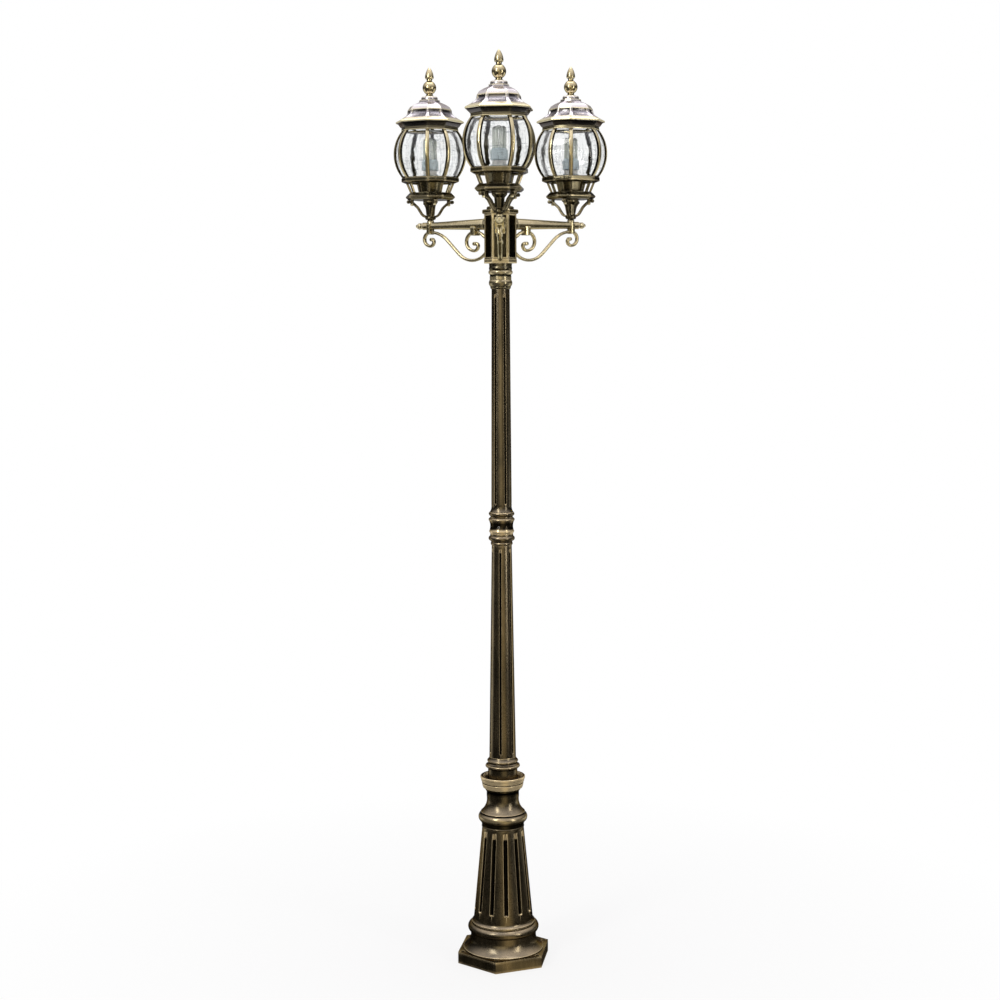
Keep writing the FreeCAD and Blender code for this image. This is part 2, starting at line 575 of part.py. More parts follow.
nut_bore = v.pipe_rad + v.run_gap
tie_nuts = feature("tie_nuts", Part.makeCompound([
    washer_shape(v.washer_rad, v.washer_thick, nut_bore, v.foot_core_level - v.washer_thick),
    nut_shape(v.nut_flats, v.nut_high, nut_bore,
              UP * (v.foot_core_level - v.washer_thick - v.nut_high), UP),
    washer_shape(v.washer_rad, v.washer_thick, nut_bore, v.cup_floor),
    nut_shape(v.nut_flats, v.nut_high, nut_bore, UP * (v.cup_floor + v.washer_thick), UP)]))
NODES.append(tie_nuts)

# ------------------------------------------------------------------ posts and their rings
collar = turned("lower_collar", [
    (S.collar_bore_rad, S.cup_floor), (S.flange_rad, S.cup_floor), (S.flange_rad, S.flange_top - 3.0),
    (S.flange_rad - 3.0, S.flange_top, 0.4), (S.stub_rad, S.flange_top),
    (S.stub_rad, S.stub_top), (S.collar_bead_rad, S.collar_bead_level - 3.0),
    (S.collar_bead_rad, S.collar_bead_level + 3.0, 0.45),
    (S.collar_neck_rad, S.collar_neck_level, -0.2),
    (S.collar_ring_rad, S.collar_ring_level - 2.5), (S.collar_ring_rad, S.collar_ring_level + 2.5, 0.5),
    (S.low_post_base_rad, S.low_post_base, -0.2),
    (S.collar_spigot_rad, S.low_post_base),
    (S.collar_spigot_rad, S.low_post_base + S.collar_spigot_high),
    (S.collar_bore_rad * 0.75, S.low_post_base + S.collar_spigot_high),
    (S.collar_bore_rad * 0.75, S.stub_top), (S.collar_bore_rad, S.stub_top)])
NODES.append(collar)

low_post = turned("lower_post", [
    (S.collar_spigot_rad + S.seat_gap, S.low_post_base), (S.low_post_base_rad, S.low_post_base),
    (S.low_post_top_rad, S.low_post_top), (S.low_post_bore, S.low_post_top),
    (S.low_post_bore, S.low_post_base + S.collar_spigot_high + 1.0),
    (S.collar_spigot_rad + S.seat_gap, S.low_post_base + S.collar_spigot_high + 1.0)])
low_slope = (v.low_post_base_rad - v.low_post_top_rad) / (v.low_post_top - v.low_post_base)
flute_low = v.low_post_base + v.low_flute_start + v.flute_point
flute_high = v.low_post_top - v.low_flute_end - v.flute_point
flutes(low_post, "low_flutes",
       (v.low_post_base_rad - low_slope * (flute_low - v.low_post_base), flute_low),
       (v.low_post_base_rad - low_slope * (flute_high - v.low_post_base), flute_high),
       v.flute_ball, v.flute_wide, v.flute_point, v.flute_point, int(v.flute_count))
place(low_post, v.low_flute_turn - 90.0)
NODES.append(low_post)

cap = turned("lower_post_cap", [
    (S.joint_bore, S.low_post_top - S.cap_spigot),
    (S.low_post_bore - S.seat_gap, S.low_post_top - S.cap_spigot),
    (S.low_post_bore - S.seat_gap, S.low_post_top), (S.low_post_top_rad, S.low_post_top),
    (S.cap_bead_rad, S.low_post_top + S.cap_bead_high, 0.45),
    (S.cap_ring_rad - 2.6, S.cap_ring_low, -0.3), (S.cap_ring_rad - 2.6, S.cap_ring_high, 0.55),
    (S.cap_groove_rad, S.cap_ring_high + 1.0), (S.cap_groove_rad, S.cap_top),
    (S.joint_spigot_rad, S.cap_top), (S.joint_spigot_rad, S.cap_top + S.cap_spigot_up),
    (S.joint_bore, S.cap_top + S.cap_spigot_up)])
NODES.append(cap)

sleeve = turned("post_coupling_turned", [
    (S.joint_spigot_rad + S.seat_gap, S.cap_top), (S.cap_groove_rad, S.cap_top),
    (S.cap_groove_rad, S.cap_top + 2.0), (S.sleeve_low_rad, S.sleeve_low_level - 3.5, 0.2),
    (S.sleeve_low_rad, S.sleeve_low_level + 1.0, 0.3),
    (S.sleeve_mid_rad, S.sleeve_mid_level, -0.12),
    (S.sleeve_high_rad, S.sleeve_high_level - 3.0, -0.12),
    (S.sleeve_high_rad, S.sleeve_high_level + 1.0, 0.3),
    (S.sleeve_top_rad, S.sleeve_top, 0.1), (S.joint_spigot_rad + S.seat_gap, S.sleeve_top)])
sleeve_bars = feature("sleeve_screw_holes", Part.makeCompound(radial_cutters(
    v.sleeve_grub_level, v.sleeve_grub_turn, v.grub_rad + v.run_gap,
    v.joint_spigot_rad - 1.0, v.sleeve_high_rad + 5.0)))
sleeve_cut = doc.addObject("Part::Cut", "post_coupling")
sleeve_cut.Base = sleeve
sleeve_cut.Tool = sleeve_bars
sleeve_cut.Label = "post_coupling"
NODES.append(sleeve_cut)

grubs = []
for level, turn, inner, outer in (
        (v.cup_grub_level, 0.0, v.flange_rad, v.cup_band_rad + 1.6),
        (v.sleeve_grub_level, v.sleeve_grub_turn, v.joint_spigot_rad, v.sleeve_mid_rad + 0.4)):
    for step, bar in enumerate(radial_cutters(level, turn, v.grub_rad, inner, outer)):
        angle = math.radians(turn + 120.0 * step)
        way = Vec(math.sin(angle), -math.cos(angle), 0)
        across = Vec(-way.y, way.x, 0)
        corner = v.grub_key_flats / math.sqrt(3.0)
        middle = way * (outer - v.grub_key_deep) + UP * level
        ring = [middle + across * (corner * math.cos(math.radians(60 * k)))
                + UP * (corner * math.sin(math.radians(60 * k))) for k in range(6)]
        grubs.append(bar.cut(solid_prism(ring, way * (v.grub_key_deep + 1.0))))
NODES.append(feature("set_screws", Part.makeCompound(grubs)))

up_post = turned("upper_post", [
    (S.joint_bore, S.sleeve_top - S.foot_spigot), (S.joint_spigot_rad, S.sleeve_top - S.foot_spigot),
    (S.joint_spigot_rad, S.sleeve_top), (S.sleeve_top_rad, S.sleeve_top),
    (S.sleeve_top_rad, S.foot_ring_low - 2.0), (S.foot_ring_rad - 2.2, S.foot_ring_low),
    (S.foot_ring_rad - 2.2, S.foot_ring_high, 0.5), (S.foot_flare_rad, S.foot_ring_high),
    (S.up_post_base_rad, S.up_post_base, -0.18),
    (S.up_post_top_rad, S.up_post_top), (S.joint_bore, S.up_post_top)])
up_slope = (v.up_post_base_rad - v.up_post_top_rad) / (v.up_post_top - v.up_post_base)
flute_low = v.up_post_base + v.up_flute_start + v.flute_point
flute_high = v.up_post_top - v.up_flute_end - v.flute_point
flutes(up_post, "up_flutes",
       (v.up_post_base_rad - up_slope * (flute_low - v.up_post_base), flute_low),
       (v.up_post_base_rad - up_slope * (flute_high - v.up_post_base), flute_high),
       v.flute_ball, v.flute_wide, v.flute_point, v.flute_point, int(v.flute_count))
place(up_post, v.up_flute_turn - 90.0)
NODES.append(up_post)

top_collar = turned("top_collar", [
    (S.top_bore, S.up_post_top - S.top_spigot_deep),
    (S.joint_bore - S.seat_gap, S.up_post_top - S.top_spigot_deep),
    (S.joint_bore - S.seat_gap, S.up_post_top), (S.up_post_top_rad, S.up_post_top),
    (S.top_bead_rad, S.top_bead_level, 0.4), (S.silver_rad - 2.5, S.silver_low),
    (S.silver_rad - 2.5, S.silver_high, 0.33), (S.band_rad, S.silver_high + 1.5),
    (S.band_rad, S.band_level + 3.0), (S.band_groove_rad, S.band_groove_level),
    (S.gold_rad - 2.6, S.gold_level - 5.0), (S.gold_rad - 2.6, S.gold_level + 5.0, 0.52),
    (S.dark_rad, S.dark_low), (S.dark_rad, S.dark_high, 0.2),
    (S.collar_seat_rad, S.hub_base), (S.hub_spigot_rad, S.hub_base),
    (S.hub_spigot_rad, S.hub_base + S.hub_floor), (S.top_bore, S.hub_base + S.hub_floor)])
NODES.append(top_collar)

# ------------------------------------------------------------------ hub
hub = doc.addObject("PartDesign::Body", "hub_shell")
prism(hub, "hub_body_pad", polygon_rows(6, S.hub_corner), S.hub_base, S.hub_top - S.hub_base)
prism(hub, "hub_flange_pad", polygon_rows(6, S.hub_flange_corner), S.hub_base, S.hub_flange_high)
FLAT = math.cos(math.radians(30.0))
panel_sketch = new_sketch(hub, "panel_sketch", "XY_Plane")
half_panel = S.hub_corner * 0.5 - S.hub_rib_wide
outline_into(panel_sketch, [
    (S.hub_corner * FLAT - S.hub_panel_deep, half_panel * -1.0),
    (S.hub_corner * FLAT + S.hub_panel_deep, half_panel * -1.0),
    (S.hub_corner * FLAT + S.hub_panel_deep, half_panel),
    (S.hub_corner * FLAT - S.hub_panel_deep, half_panel)])
panel_sketch.AttachmentOffset = FreeCAD.Placement(ORIGIN, FreeCAD.Rotation(UP, 30.0))
panel_sketch.setExpression("AttachmentOffset.Base.z",
                           (S.hub_base + S.hub_flange_high + S.hub_panel_edge).text)
panel = hub.newObject("PartDesign::Pocket", "panel")
panel.Profile = panel_sketch
panel.Reversed = True
panel.setExpression("Length", (S.hub_top - S.hub_base - S.hub_flange_high
                               - S.hub_panel_edge * 2.0).text)
hub.Tip = panel
doc.recompute()
ring_of(hub, panel, 6)
hollow_sketch = new_sketch(hub, "hollow_sketch", "XY_Plane")
outline_into(hollow_sketch, polygon_rows(6, S.hub_hollow_flat * (1.0 / FLAT)))
hollow_sketch.setExpression("AttachmentOffset.Base.z", (S.hub_base + S.hub_floor).text)
hollow = hub.newObject("PartDesign::Pocket", "hub_hollow")
hollow.Profile = hollow_sketch
hollow.Reversed = True
hollow.setExpression("Length", (S.hub_top - S.hub_base).text)
hub.Tip = hollow
doc.recompute()
drill(hub, "collar_hole", as_size(0.0), S.hub_spigot_rad + S.seat_gap, 1)
tenon_cuts = []
for word, turn in ARMS:
    angle = math.radians(turn)
    way = Vec(math.sin(angle), -math.cos(angle), 0)
    tenon_cuts.append(Part.makeCylinder(v.tenon_rad + v.seat_gap, v.hub_corner,
                                        way * 10.0 + UP * v.arm_level, way))
hub_holes = feature("hub_tenon_holes", Part.makeCompound(tenon_cuts))
hub_cut = doc.addObject("Part::Cut", "hub_body")
hub_cut.Base = hub
hub_cut.Tool = hub_holes
hub_cut.Label = "hub_body"
NODES.append(hub_cut)

lid = doc.addObject("PartDesign::Body", "hub_cap")
lid.Label = "hub_cap"
brim = prism(lid, "lid_brim", polygon_rows(6, S.brim_corner), S.hub_top, S.brim_high)
brim_edges = []
for number, edge in enumerate(brim.Shape.Edges, start=1):
    levels = [p.Point.z for p in edge.Vertexes]
    if abs(levels[0] - levels[1]) < 1.0:
        brim_edges.append("Edge%d" % number)
bevel = lid.newObject("PartDesign::Chamfer", "brim_bevel")
bevel.Base = (brim, brim_edges)
bevel.setExpression("Size", "Sizes.brim_chamfer")
lid.Tip = bevel
doc.recompute()
dome_sketch = new_sketch(lid, "dome_profile", "XZ_Plane")
tier_base = S.hub_top + S.brim_high
outline_into(dome_sketch, [
    (0.0, S.hub_top - S.brim_plug_deep), (S.brim_plug_rad, S.hub_top - S.brim_plug_deep),
    (S.brim_plug_rad, tier_base - 1.0), (S.tier_rad, tier_base - 1.0),
    (S.tier_rad, tier_base + S.tier_high - 2.0), (S.tier_rad - 3.0, tier_base + S.tier_high, 0.4),
    (S.dome_top_rad, tier_base + S.tier_high + S.dome_high, -0.12),
    (0.0, tier_base + S.tier_high + S.dome_high)])
dome = lid.newObject("PartDesign::Revolution", "dome")
dome.Profile = dome_sketch
dome.ReferenceAxis = (dome_sketch, ["V_Axis"])
dome.Angle = 360
lid.Tip = dome
doc.recompute()
drill(lid, "knob_hole", as_size(0.0), S.knob_stud + S.seat_gap, 1)
NODES.append(lid)

dome_top = tier_base + S.tier_high + S.dome_high
knob = turned("hub_knob", [
    (0.0, dome_top - S.knob_stud_deep), (S.knob_stud, dome_top - S.knob_stud_deep),
    (S.knob_stud, dome_top), (S.dome_top_rad - 1.0, dome_top), (S.knob_neck, dome_top + 2.5),
    (S.knob_neck, dome_top + 3.5), (S.knob_rad, dome_top + 14.0, 0.3),
    (S.knob_tip, dome_top + 25.5, 0.36), (0.0, dome_top + 25.5)])
NODES.append(knob)

# ------------------------------------------------------------------ arms
STEP = math.radians(45.0)


def arm_ring(reach, corner, level):
    """An eight-sided section across the arm, one corner up."""
    return wire_of([Vec(corner * math.sin(STEP * k), -reach, level + corner * math.cos(STEP * k))
                    for k in range(8)])


panel_flat = v.hub_corner * FLAT - v.hub_panel_deep
rib_flat = v.hub_corner * FLAT


def arm_shape():
    rings = [(panel_flat, v.arm_root_rad), (v.arm_mid_reach, v.arm_end_rad),
             (v.arm_nose_reach, v.arm_end_rad)]
    bar = Part.makeLoft([arm_ring(reach, corner, v.arm_level) for reach, corner in rings],
                        True, True)
    nose = Part.makeLoft([arm_ring(reach, corner, v.arm_level) for reach, corner in (
        (v.arm_nose_reach - 1.0, v.nose_groove_rad),
        (v.arm_nose_reach + v.nose_groove_long, v.nose_groove_rad),
        (v.arm_nose_reach + v.nose_groove_long + 1.0, v.nose_bead_rad),
        (v.arm_nose_reach + v.nose_groove_long + v.nose_long * 0.5, v.nose_bead_rad),
        (v.arm_nose_reach + v.nose_groove_long + v.nose_long, v.nose_bead_rad * 0.45))],
        True, True)
    out = Vec(0, -1, 0)
    inner = v.hub_hollow_flat - v.arm_nut_high - 2.0
    tenon = Part.makeCylinder(v.tenon_rad, panel_flat - inner + 5.0,
                              out * inner + UP * v.arm_level, out)
    boss = Part.makeCylinder(v.seat_boss_rad, v.seat_level - v.arm_level,
                             out * v.reach + UP * v.arm_level)
    whole = bar.fuse([nose, tenon, boss]).removeSplitter()
    hole = Part.makeCylinder(v.stud_rad + v.seat_gap, v.seat_level - v.arm_level + v.stud_deep,
                             out * v.reach + UP * (v.seat_level - v.stud_deep))
    return whole, whole.cut(hole)


def ferrule_shape():
    level = v.arm_level
    taper = (v.arm_root_rad - v.arm_end_rad) / (v.arm_mid_reach - panel_flat)
    ends = (rib_flat, rib_flat + v.ferrule_long)
    outer = Part.makeLoft([arm_ring(ends[0], v.ferrule_rad, level),
                           arm_ring(ends[1] - 1.5, v.ferrule_rad, level),
                           arm_ring(ends[1], v.ferrule_rad - 1.5, level)], True, True)
    bore = Part.makeLoft([arm_ring(end, v.arm_root_rad - taper * (end - panel_flat)
                                   + v.seat_gap, level) for end in ends], True, True)
    return outer.cut(bore)


def run_path(steps):
    """Follows (radius, turn) arcs and ("line", length) runs; returns points and headings."""
    spot = Vec(0, 0, 0)
    heading = steps[0]
    marks = [(spot, heading)]
    for kind, size in steps[1:]:
        if kind == "line":
            spot = spot + Vec(math.cos(heading), math.sin(heading), 0) * size
        else:
            side = 1.0 if size > 0 else -1.0
            centre = spot + Vec(-math.sin(heading), math.cos(heading), 0) * (kind * side)
            away = spot - centre
            turn = math.radians(size)
            spot = centre + Vec(away.x * math.cos(turn) - away.y * math.sin(turn),
                                away.x * math.sin(turn) + away.y * math.cos(turn), 0)
            heading = heading + turn
        marks.append((spot, heading))
    return marks


def band_edges(steps, marks, half):
    """Edges of a strip that runs along a path of tangent arcs and lines."""
    left = []
    right = []
    for index, (kind, size) in enumerate(steps[1:]):
        spot, heading = marks[index]
        far, later = marks[index + 1]
        side = Vec(-math.sin(heading), math.cos(heading), 0) * half
        side_far = Vec(-math.sin(later), math.cos(later), 0) * half
        if kind == "line":
            left.append(Part.LineSegment(spot + side, far + side_far).toShape())
            right.append(Part.LineSegment(spot - side, far - side_far).toShape())
            continue
        sign = 1.0 if size > 0 else -1.0
        centre = spot + side * (kind * sign / half)
        middle = heading + math.radians(size) / 2.0
        normal = Vec(-math.sin(middle), math.cos(middle), 0)
        for rail, offset in ((left, half), (right, -half)):
            mid = centre - normal * (kind * sign - offset)
            ends = ((side, side_far) if offset > 0 else (side * -1.0, side_far * -1.0))
            rail.append(Part.Arc(spot + ends[0], mid, far + ends[1]).toShape())
    return left, right


def strip_shape(steps, anchor, anchor_index, thick, wide, chamfer):
    """A flat bar bent along the path, standing in the arm's upright plane."""
    marks = run_path(steps)
    shift = anchor - marks[anchor_index][0]
    marks = [(spot + shift, heading) for spot, heading in marks]
    left, right = band_edges(steps, marks, thick / 2.0)
    caps = []
    for index in (0, -1):
        spot, heading = marks[index]
        side = Vec(-math.sin(heading), math.cos(heading), 0) * (thick / 2.0)
        caps.append(Part.LineSegment(spot + side, spot - side).toShape())
    edges = Part.sortEdges(left + right + caps)[0]
    face = Part.Face(Part.Wire(edges))
    bar = face.extrude(UP * wide)
    bar.translate(UP * (-wide / 2.0))
    if chamfer:
        rims = [edge for edge in bar.Edges if abs(abs(edge.BoundBox.ZMin) - wide / 2.0) < 0.01
                and edge.BoundBox.ZLength < 0.01]
        bar = bar.makeChamfer(chamfer, rims)
    return bar, marks


def stand_up(shape):
    """Turns a shape drawn in (reach, level) into the front arm's upright plane."""
    matrix = FreeCAD.Matrix(0, 0, -1, 0, -1, 0, 0, 0, 0, 1, 0, 0, 0, 0, 0, 1)
    return shape.transformed(matrix, True)


def eye_shape(spot, radius, wide):
    eye = Part.makeCylinder(radius, wide, Vec(spot.x, spot.y, -wide / 2.0))
    rims = [edge for edge in eye.Edges if edge.BoundBox.ZLength < 0.01]
    return eye.makeChamfer(radius * 0.25, rims)


def trim_at_hub(bar):
    """Cuts the bar flush with the hub's recessed panel."""
    block = Part.makeBox(v.cut_block, v.cut_block, v.cut_block, Vec(
        panel_flat - v.cut_block, v.s_top_level - v.cut_block / 2.0, -v.cut_block / 2.0))
    return bar.cut(block)


def outer_scroll():
    steps = [math.pi, (v.s_end_turn, 90.0), (v.s_inner_turn, 90.0), (v.s_outer_turn, 90.0),
             (v.s_outer_turn, 90.0), (v.s_shoulder_turn, 45.0), ("line", v.s_straight),
             (v.s_belly_turn, -45.0), (v.s_belly_turn, -72.0)]
    top = Vec(v.s_top_reach, v.s_top_level, 0)
    bar, marks = strip_shape(steps, top, 4, v.bar_thick, v.bar_wide, v.bar_chamfer)
    bar = trim_at_hub(bar).fuse(eye_shape(marks[0][0], v.eye_rad, v.eye_wide))
    return stand_up(bar)


def inner_scroll():
    back = math.radians(v.c_neck_angle)
    neck_end = v.c_top_reach - v.c_neck_turn * math.sin(back)
    flat_turn = (neck_end - panel_flat) / math.sin(back)
    steps = [math.pi - math.radians(120.0 + 270.0), (v.c_end_turn, 120.0),
             (v.c_inner_turn, 90.0), (v.c_lower_turn, 90.0), (v.c_outer_turn, 90.0),
             (v.c_neck_turn, v.c_neck_angle), (flat_turn, -v.c_neck_angle)]
    top = Vec(v.c_top_reach, v.c_top_level, 0)
    bar, marks = strip_shape(steps, top, 4, v.bar_thick, v.bar_wide, v.bar_chamfer)
    bar = bar.fuse(eye_shape(marks[0][0], v.eye_rad, v.eye_wide))
    return stand_up(bar)


def clip_shape(reach, long, wide, low, high, others):
    block = Part.makeBox(wide, long, high - low, Vec(-wide / 2.0, -reach - long / 2.0, low))
    rims = [edge for edge in block.Edges if edge.BoundBox.ZLength > 1.0 or
            (edge.BoundBox.ZMin < low + 1.0 and edge.BoundBox.YLength > 1.0)]
    block = block.makeChamfer(1.0, rims)
    for other in others:
        block = block.cut(other)
    return block


arm_plain, arm_solid = arm_shape()
ferrule_solid = ferrule_shape()
s_solid = outer_scroll()
c_solid = inner_scroll()
clip_solids = [
    clip_shape(v.s_top_reach, v.s_clip_long, v.s_clip_wide, v.s_clip_low, v.s_clip_high,
               [arm_plain, s_solid]),
    clip_shape(v.c_top_reach, v.c_clip_long, v.c_clip_wide, v.c_clip_low, v.c_clip_high,
               [arm_plain, c_solid])]
nut_turn = FreeCAD.Rotation(Vec(1, 0, 0), 90.0)
arm_nut = nut_shape(v.arm_nut_flats, v.arm_nut_high, v.tenon_rad + v.run_gap, ORIGIN, UP)
arm_nut.Placement = FreeCAD.Placement(
    Vec(0, -v.hub_hollow_flat + v.arm_nut_high, v.arm_level), nut_turn)
clips = []
nuts = []
for word, turn in ARMS:
    for base, shape in (("arm_", arm_solid), ("arm_ferrule_", ferrule_solid),
                        ("outer_scroll_", s_solid), ("inner_scroll_", c_solid)):
        piece = feature(base + word, shape)
        place(piece, turn)
        NODES.append(piece)
    spin = FreeCAD.Placement(ORIGIN, FreeCAD.Rotation(UP, turn))
    for shape in clip_solids:
        clips.append(shape.transformed(spin.toMatrix()))
    nuts.append(arm_nut.transformed(spin.toMatrix()))
NODES.append(feature("scroll_clips", Part.makeCompound(clips)))
NODES.append(feature("arm_nuts", Part.makeCompound(nuts)))

# ------------------------------------------------------------------ lanterns
CORNERS = []
for quarter in range(4):
    middle = -90.0 + 90.0 * quarter
    CORNERS.append(math.radians(middle - v.corner_angle))
    CORNERS.append(math.radians(middle + v.corner_angle))


def eight(corner, level):
    """Eight corner points; wide faces look along the axes, narrow ones stand between."""
    return [Vec(corner * math.cos(a), corner * math.sin(a), level) for a in CORNERS]


def moulding(levels):
    """A solid with straight facets through eight-sided sections of (corner, level)."""
    return Part.makeLoft([wire_of(eight(corner, level)) for corner, level in levels], True, True)


def belly_corner(level, inset):
    """Corner radius of the bent panes at a level."""
    half = (v.glass_top - v.ring_high) / 2.0
    rise = v.glass_belly_corner - v.glass_end_corner
    bend = (half ** 2 + rise ** 2) / (2.0 * rise)
    away = level - (v.glass_top + v.ring_high) / 2.0
    return v.glass_belly_corner - bend + math.sqrt(bend ** 2 - away ** 2) - inset


def barrel(inset, low, high):
    """The bent-glass body as a smooth loft of eight faces."""
    rings = []
    count = 7
    for step in range(count):
        level = low + (high - low) * step / (count - 1.0)
        rings.append(eight(belly_corner(level, inset), level))
    sides = []
    for index in range(8):
        following = (index + 1) % 8
        curves = []
        for spot in (index, following):
            curve = Part.BSplineCurve()
            curve.interpolate([ring[spot] for ring in rings])
            curves.append(curve.toShape())
        sides.append(Part.makeRuledSurface(curves[0], curves[1]))
    for ring in (rings[0], rings[-1]):
        sides.append(Part.Face(wire_of(ring)))
    shell = Part.makeShell([face for side in sides for face in side.Faces])
    shell.sewShape()
    solid = Part.makeSolid(shell)
    if solid.Volume < 0:
        solid.reverse()
    return solid


def corner_slab(index, inner, outer, wide, low, high):
    """An upright slab across one corner of the lantern."""
    angle = CORNERS[index]
    out = Vec(math.cos(angle), math.sin(angle), 0)
    side = Vec(-out.y, out.x, 0) * (wide / 2.0)
    base = UP * low
    return solid_prism([base + out * inner - side, base + out * outer - side,
                        base + out * outer + side, base + out * inner + side],
                       UP * (high - low))


def bracket_seat_level():
    """Level of the flat boss under a bracket's end, where the screw's head sits."""
    return v.bracket_level - v.bracket_thick / 2.0 - v.bracket_seat


def stand_shape():
    lower = Part.Face(Part.Wire(Part.makePolygon([
        Vec(0, 0, v.seat_level - v.stud_deep), Vec(v.stud_rad, 0, v.seat_level - v.stud_deep),
        Vec(v.stud_rad, 0, v.seat_level), Vec(v.stand_base_rad, 0, v.seat_level),
        Vec(v.stand_base_rad, 0, v.seat_level + 2.5),
        Vec(v.stand_base_rad - 2.0, 0, v.stand_bead_low - 1.5),
        Vec(v.stand_bead_rad - 1.5, 0, v.stand_bead_low), Vec(v.stand_bead_rad, 0, v.stand_bead_low + 2.0),
        Vec(v.stand_bead_rad, 0, v.stand_bead_high - 2.0), Vec(v.stand_bead_rad - 1.5, 0, v.stand_bead_high),
        Vec(v.stem_low_rad - 1.0, 0, v.stem_low), Vec(0, 0, v.stem_low),
        Vec(0, 0, v.seat_level - v.stud_deep)]))).revolve(ORIGIN, UP, 360)
    stem = Part.makeLoft([wire_of([Vec(rad * math.cos(STEP * (k + 0.5)), rad * math.sin(STEP * (k + 0.5)),
                                       level) for k in range(8)])
                          for rad, level in ((v.stem_low_rad, v.stem_low),
                                             (v.stem_high_rad, v.stem_high))], True, True)
    upper = Part.Face(Part.Wire(Part.makePolygon([
        Vec(0, 0, v.stem_high), Vec(v.stem_high_rad - 1.0, 0, v.stem_high),
        Vec(v.cone_rad, 0, v.cone_level), Vec(v.cone_rad, 0, v.stand_top),
        Vec(v.nipple_rad, 0, v.stand_top), Vec(v.nipple_rad, 0, v.stand_top + v.nipple_up),
        Vec(0, 0, v.stand_top + v.nipple_up), Vec(0, 0, v.stem_high)]))).revolve(ORIGIN, UP, 360)
    steps = [math.pi, ("line", v.tab_rad), (v.bracket_bend, v.bracket_angle),
             ("line", v.bracket_run), (v.bracket_hip, v.bracket_hip_angle),
             ("line", v.bracket_leg),
             (v.bracket_foot, -v.bracket_angle - v.bracket_hip_angle), ("line", v.stem_low_rad)]
    bar, marks = strip_shape(steps, Vec(v.bracket_reach, v.bracket_level, 0), 0,
                             v.bracket_thick, v.bracket_wide, 0.0)
    bar = bar.fuse(eye_shape(marks[0][0], v.tab_rad, v.bracket_wide + 1.0))
    core = Part.makeBox(v.cut_block, v.cut_block, v.cut_block, Vec(
        v.wire_bore * 0.5 - v.cut_block, v.stand_top - v.cut_block / 2.0, -v.cut_block / 2.0))
    bar = stand_up(bar.cut(core))
    seat = bracket_seat_level()
    boss = Part.makeCylinder(v.tab_rad, v.stand_top - seat, Vec(0, -v.bracket_screw_reach, seat))
    spot_face = Part.makeCylinder(v.bracket_head_rad + v.run_gap, v.bracket_cover,
                                  Vec(0, -v.bracket_screw_reach, seat - v.bracket_cover))
    hole = Part.makeCylinder(v.bracket_screw_rad + v.run_gap, v.cut_block,
                             Vec(0, -v.bracket_screw_reach, seat - v.cut_block / 2.0))
    bar = bar.fuse(boss).cut([spot_face, hole])
    whole = lower.fuse([stem, upper])
    for quarter in range(4):
        spin = FreeCAD.Placement(ORIGIN, FreeCAD.Rotation(UP, 45.0 + 90.0 * quarter))
        whole = whole.fuse(bar.transformed(spin.toMatrix()))
    whole = whole.cut(Part.makeCylinder(v.wire_bore, v.cut_block,
                                        UP * (v.stem_low - v.cut_block / 2.0)))
    return whole.removeSplitter()


def bracket_screw(base_level):
    head = Part.makeCylinder(v.bracket_head_rad, v.bracket_head_high,
                             UP * (base_level - v.bracket_head_high))
    rims = [edge for edge in head.Edges if edge.BoundBox.ZMax < base_level - v.bracket_head_high + 0.1]
    head = head.makeChamfer(v.bracket_head_high * 0.3, rims)
    shaft = Part.makeCylinder(v.bracket_screw_rad, v.stand_top + 4.0 - base_level, UP * base_level)
    return head.fuse(shaft)


def gallery_shape():
    body = moulding([(v.flange_low_corner, v.stand_top), (v.flange_edge_corner, v.flange_edge_low),
                     (v.flange_edge_corner, v.flange_edge_high),
                     (v.flange_shelf_corner, v.flange_shelf)])
    posts = moulding([(v.gallery_low_corner, v.flange_shelf - 1.0),
                      (v.gallery_high_corner, v.ring_low + 1.0)])
    inside = moulding([(v.gallery_low_corner - v.gallery_wall, v.flange_shelf - 1.0),
                       (v.gallery_high_corner - v.gallery_wall, v.ring_low + 1.0)])
    cage = posts.cut(inside)
    slabs = [corner_slab(k, 30.0, 90.0, v.gallery_post, v.flange_shelf - 2.0, v.ring_low + 2.0)
             for k in range(8)]
    bars = [cage.common(slab) for slab in slabs]
    ring = moulding([(v.ring_low_corner, v.ring_low), (v.ring_edge_corner, v.ring_edge_low),
                     (v.ring_edge_corner, v.ring_edge_high),
                     (v.ring_edge_corner - 2.0, v.ring_high)])
    ring = ring.cut(moulding([(v.ring_open_corner, v.ring_low - 1.0),
                              (v.ring_open_corner, v.ring_high + 1.0)]))
    body = body.fuse(bars + [ring])
    body = body.cut(Part.makeCylinder(v.nipple_rad + v.seat_gap, 40.0, UP * (v.stand_top - 5.0)))
    for quarter in range(4):
        angle = math.radians(-45.0 + 90.0 * quarter)
        spot = Vec(math.cos(angle), math.sin(angle), 0) * v.bracket_screw_reach
        body = body.cut(Part.makeCylinder(v.bracket_screw_rad + v.run_gap, 5.0,
                                          spot + UP * (v.stand_top - 0.5)))
    return body.removeSplitter()


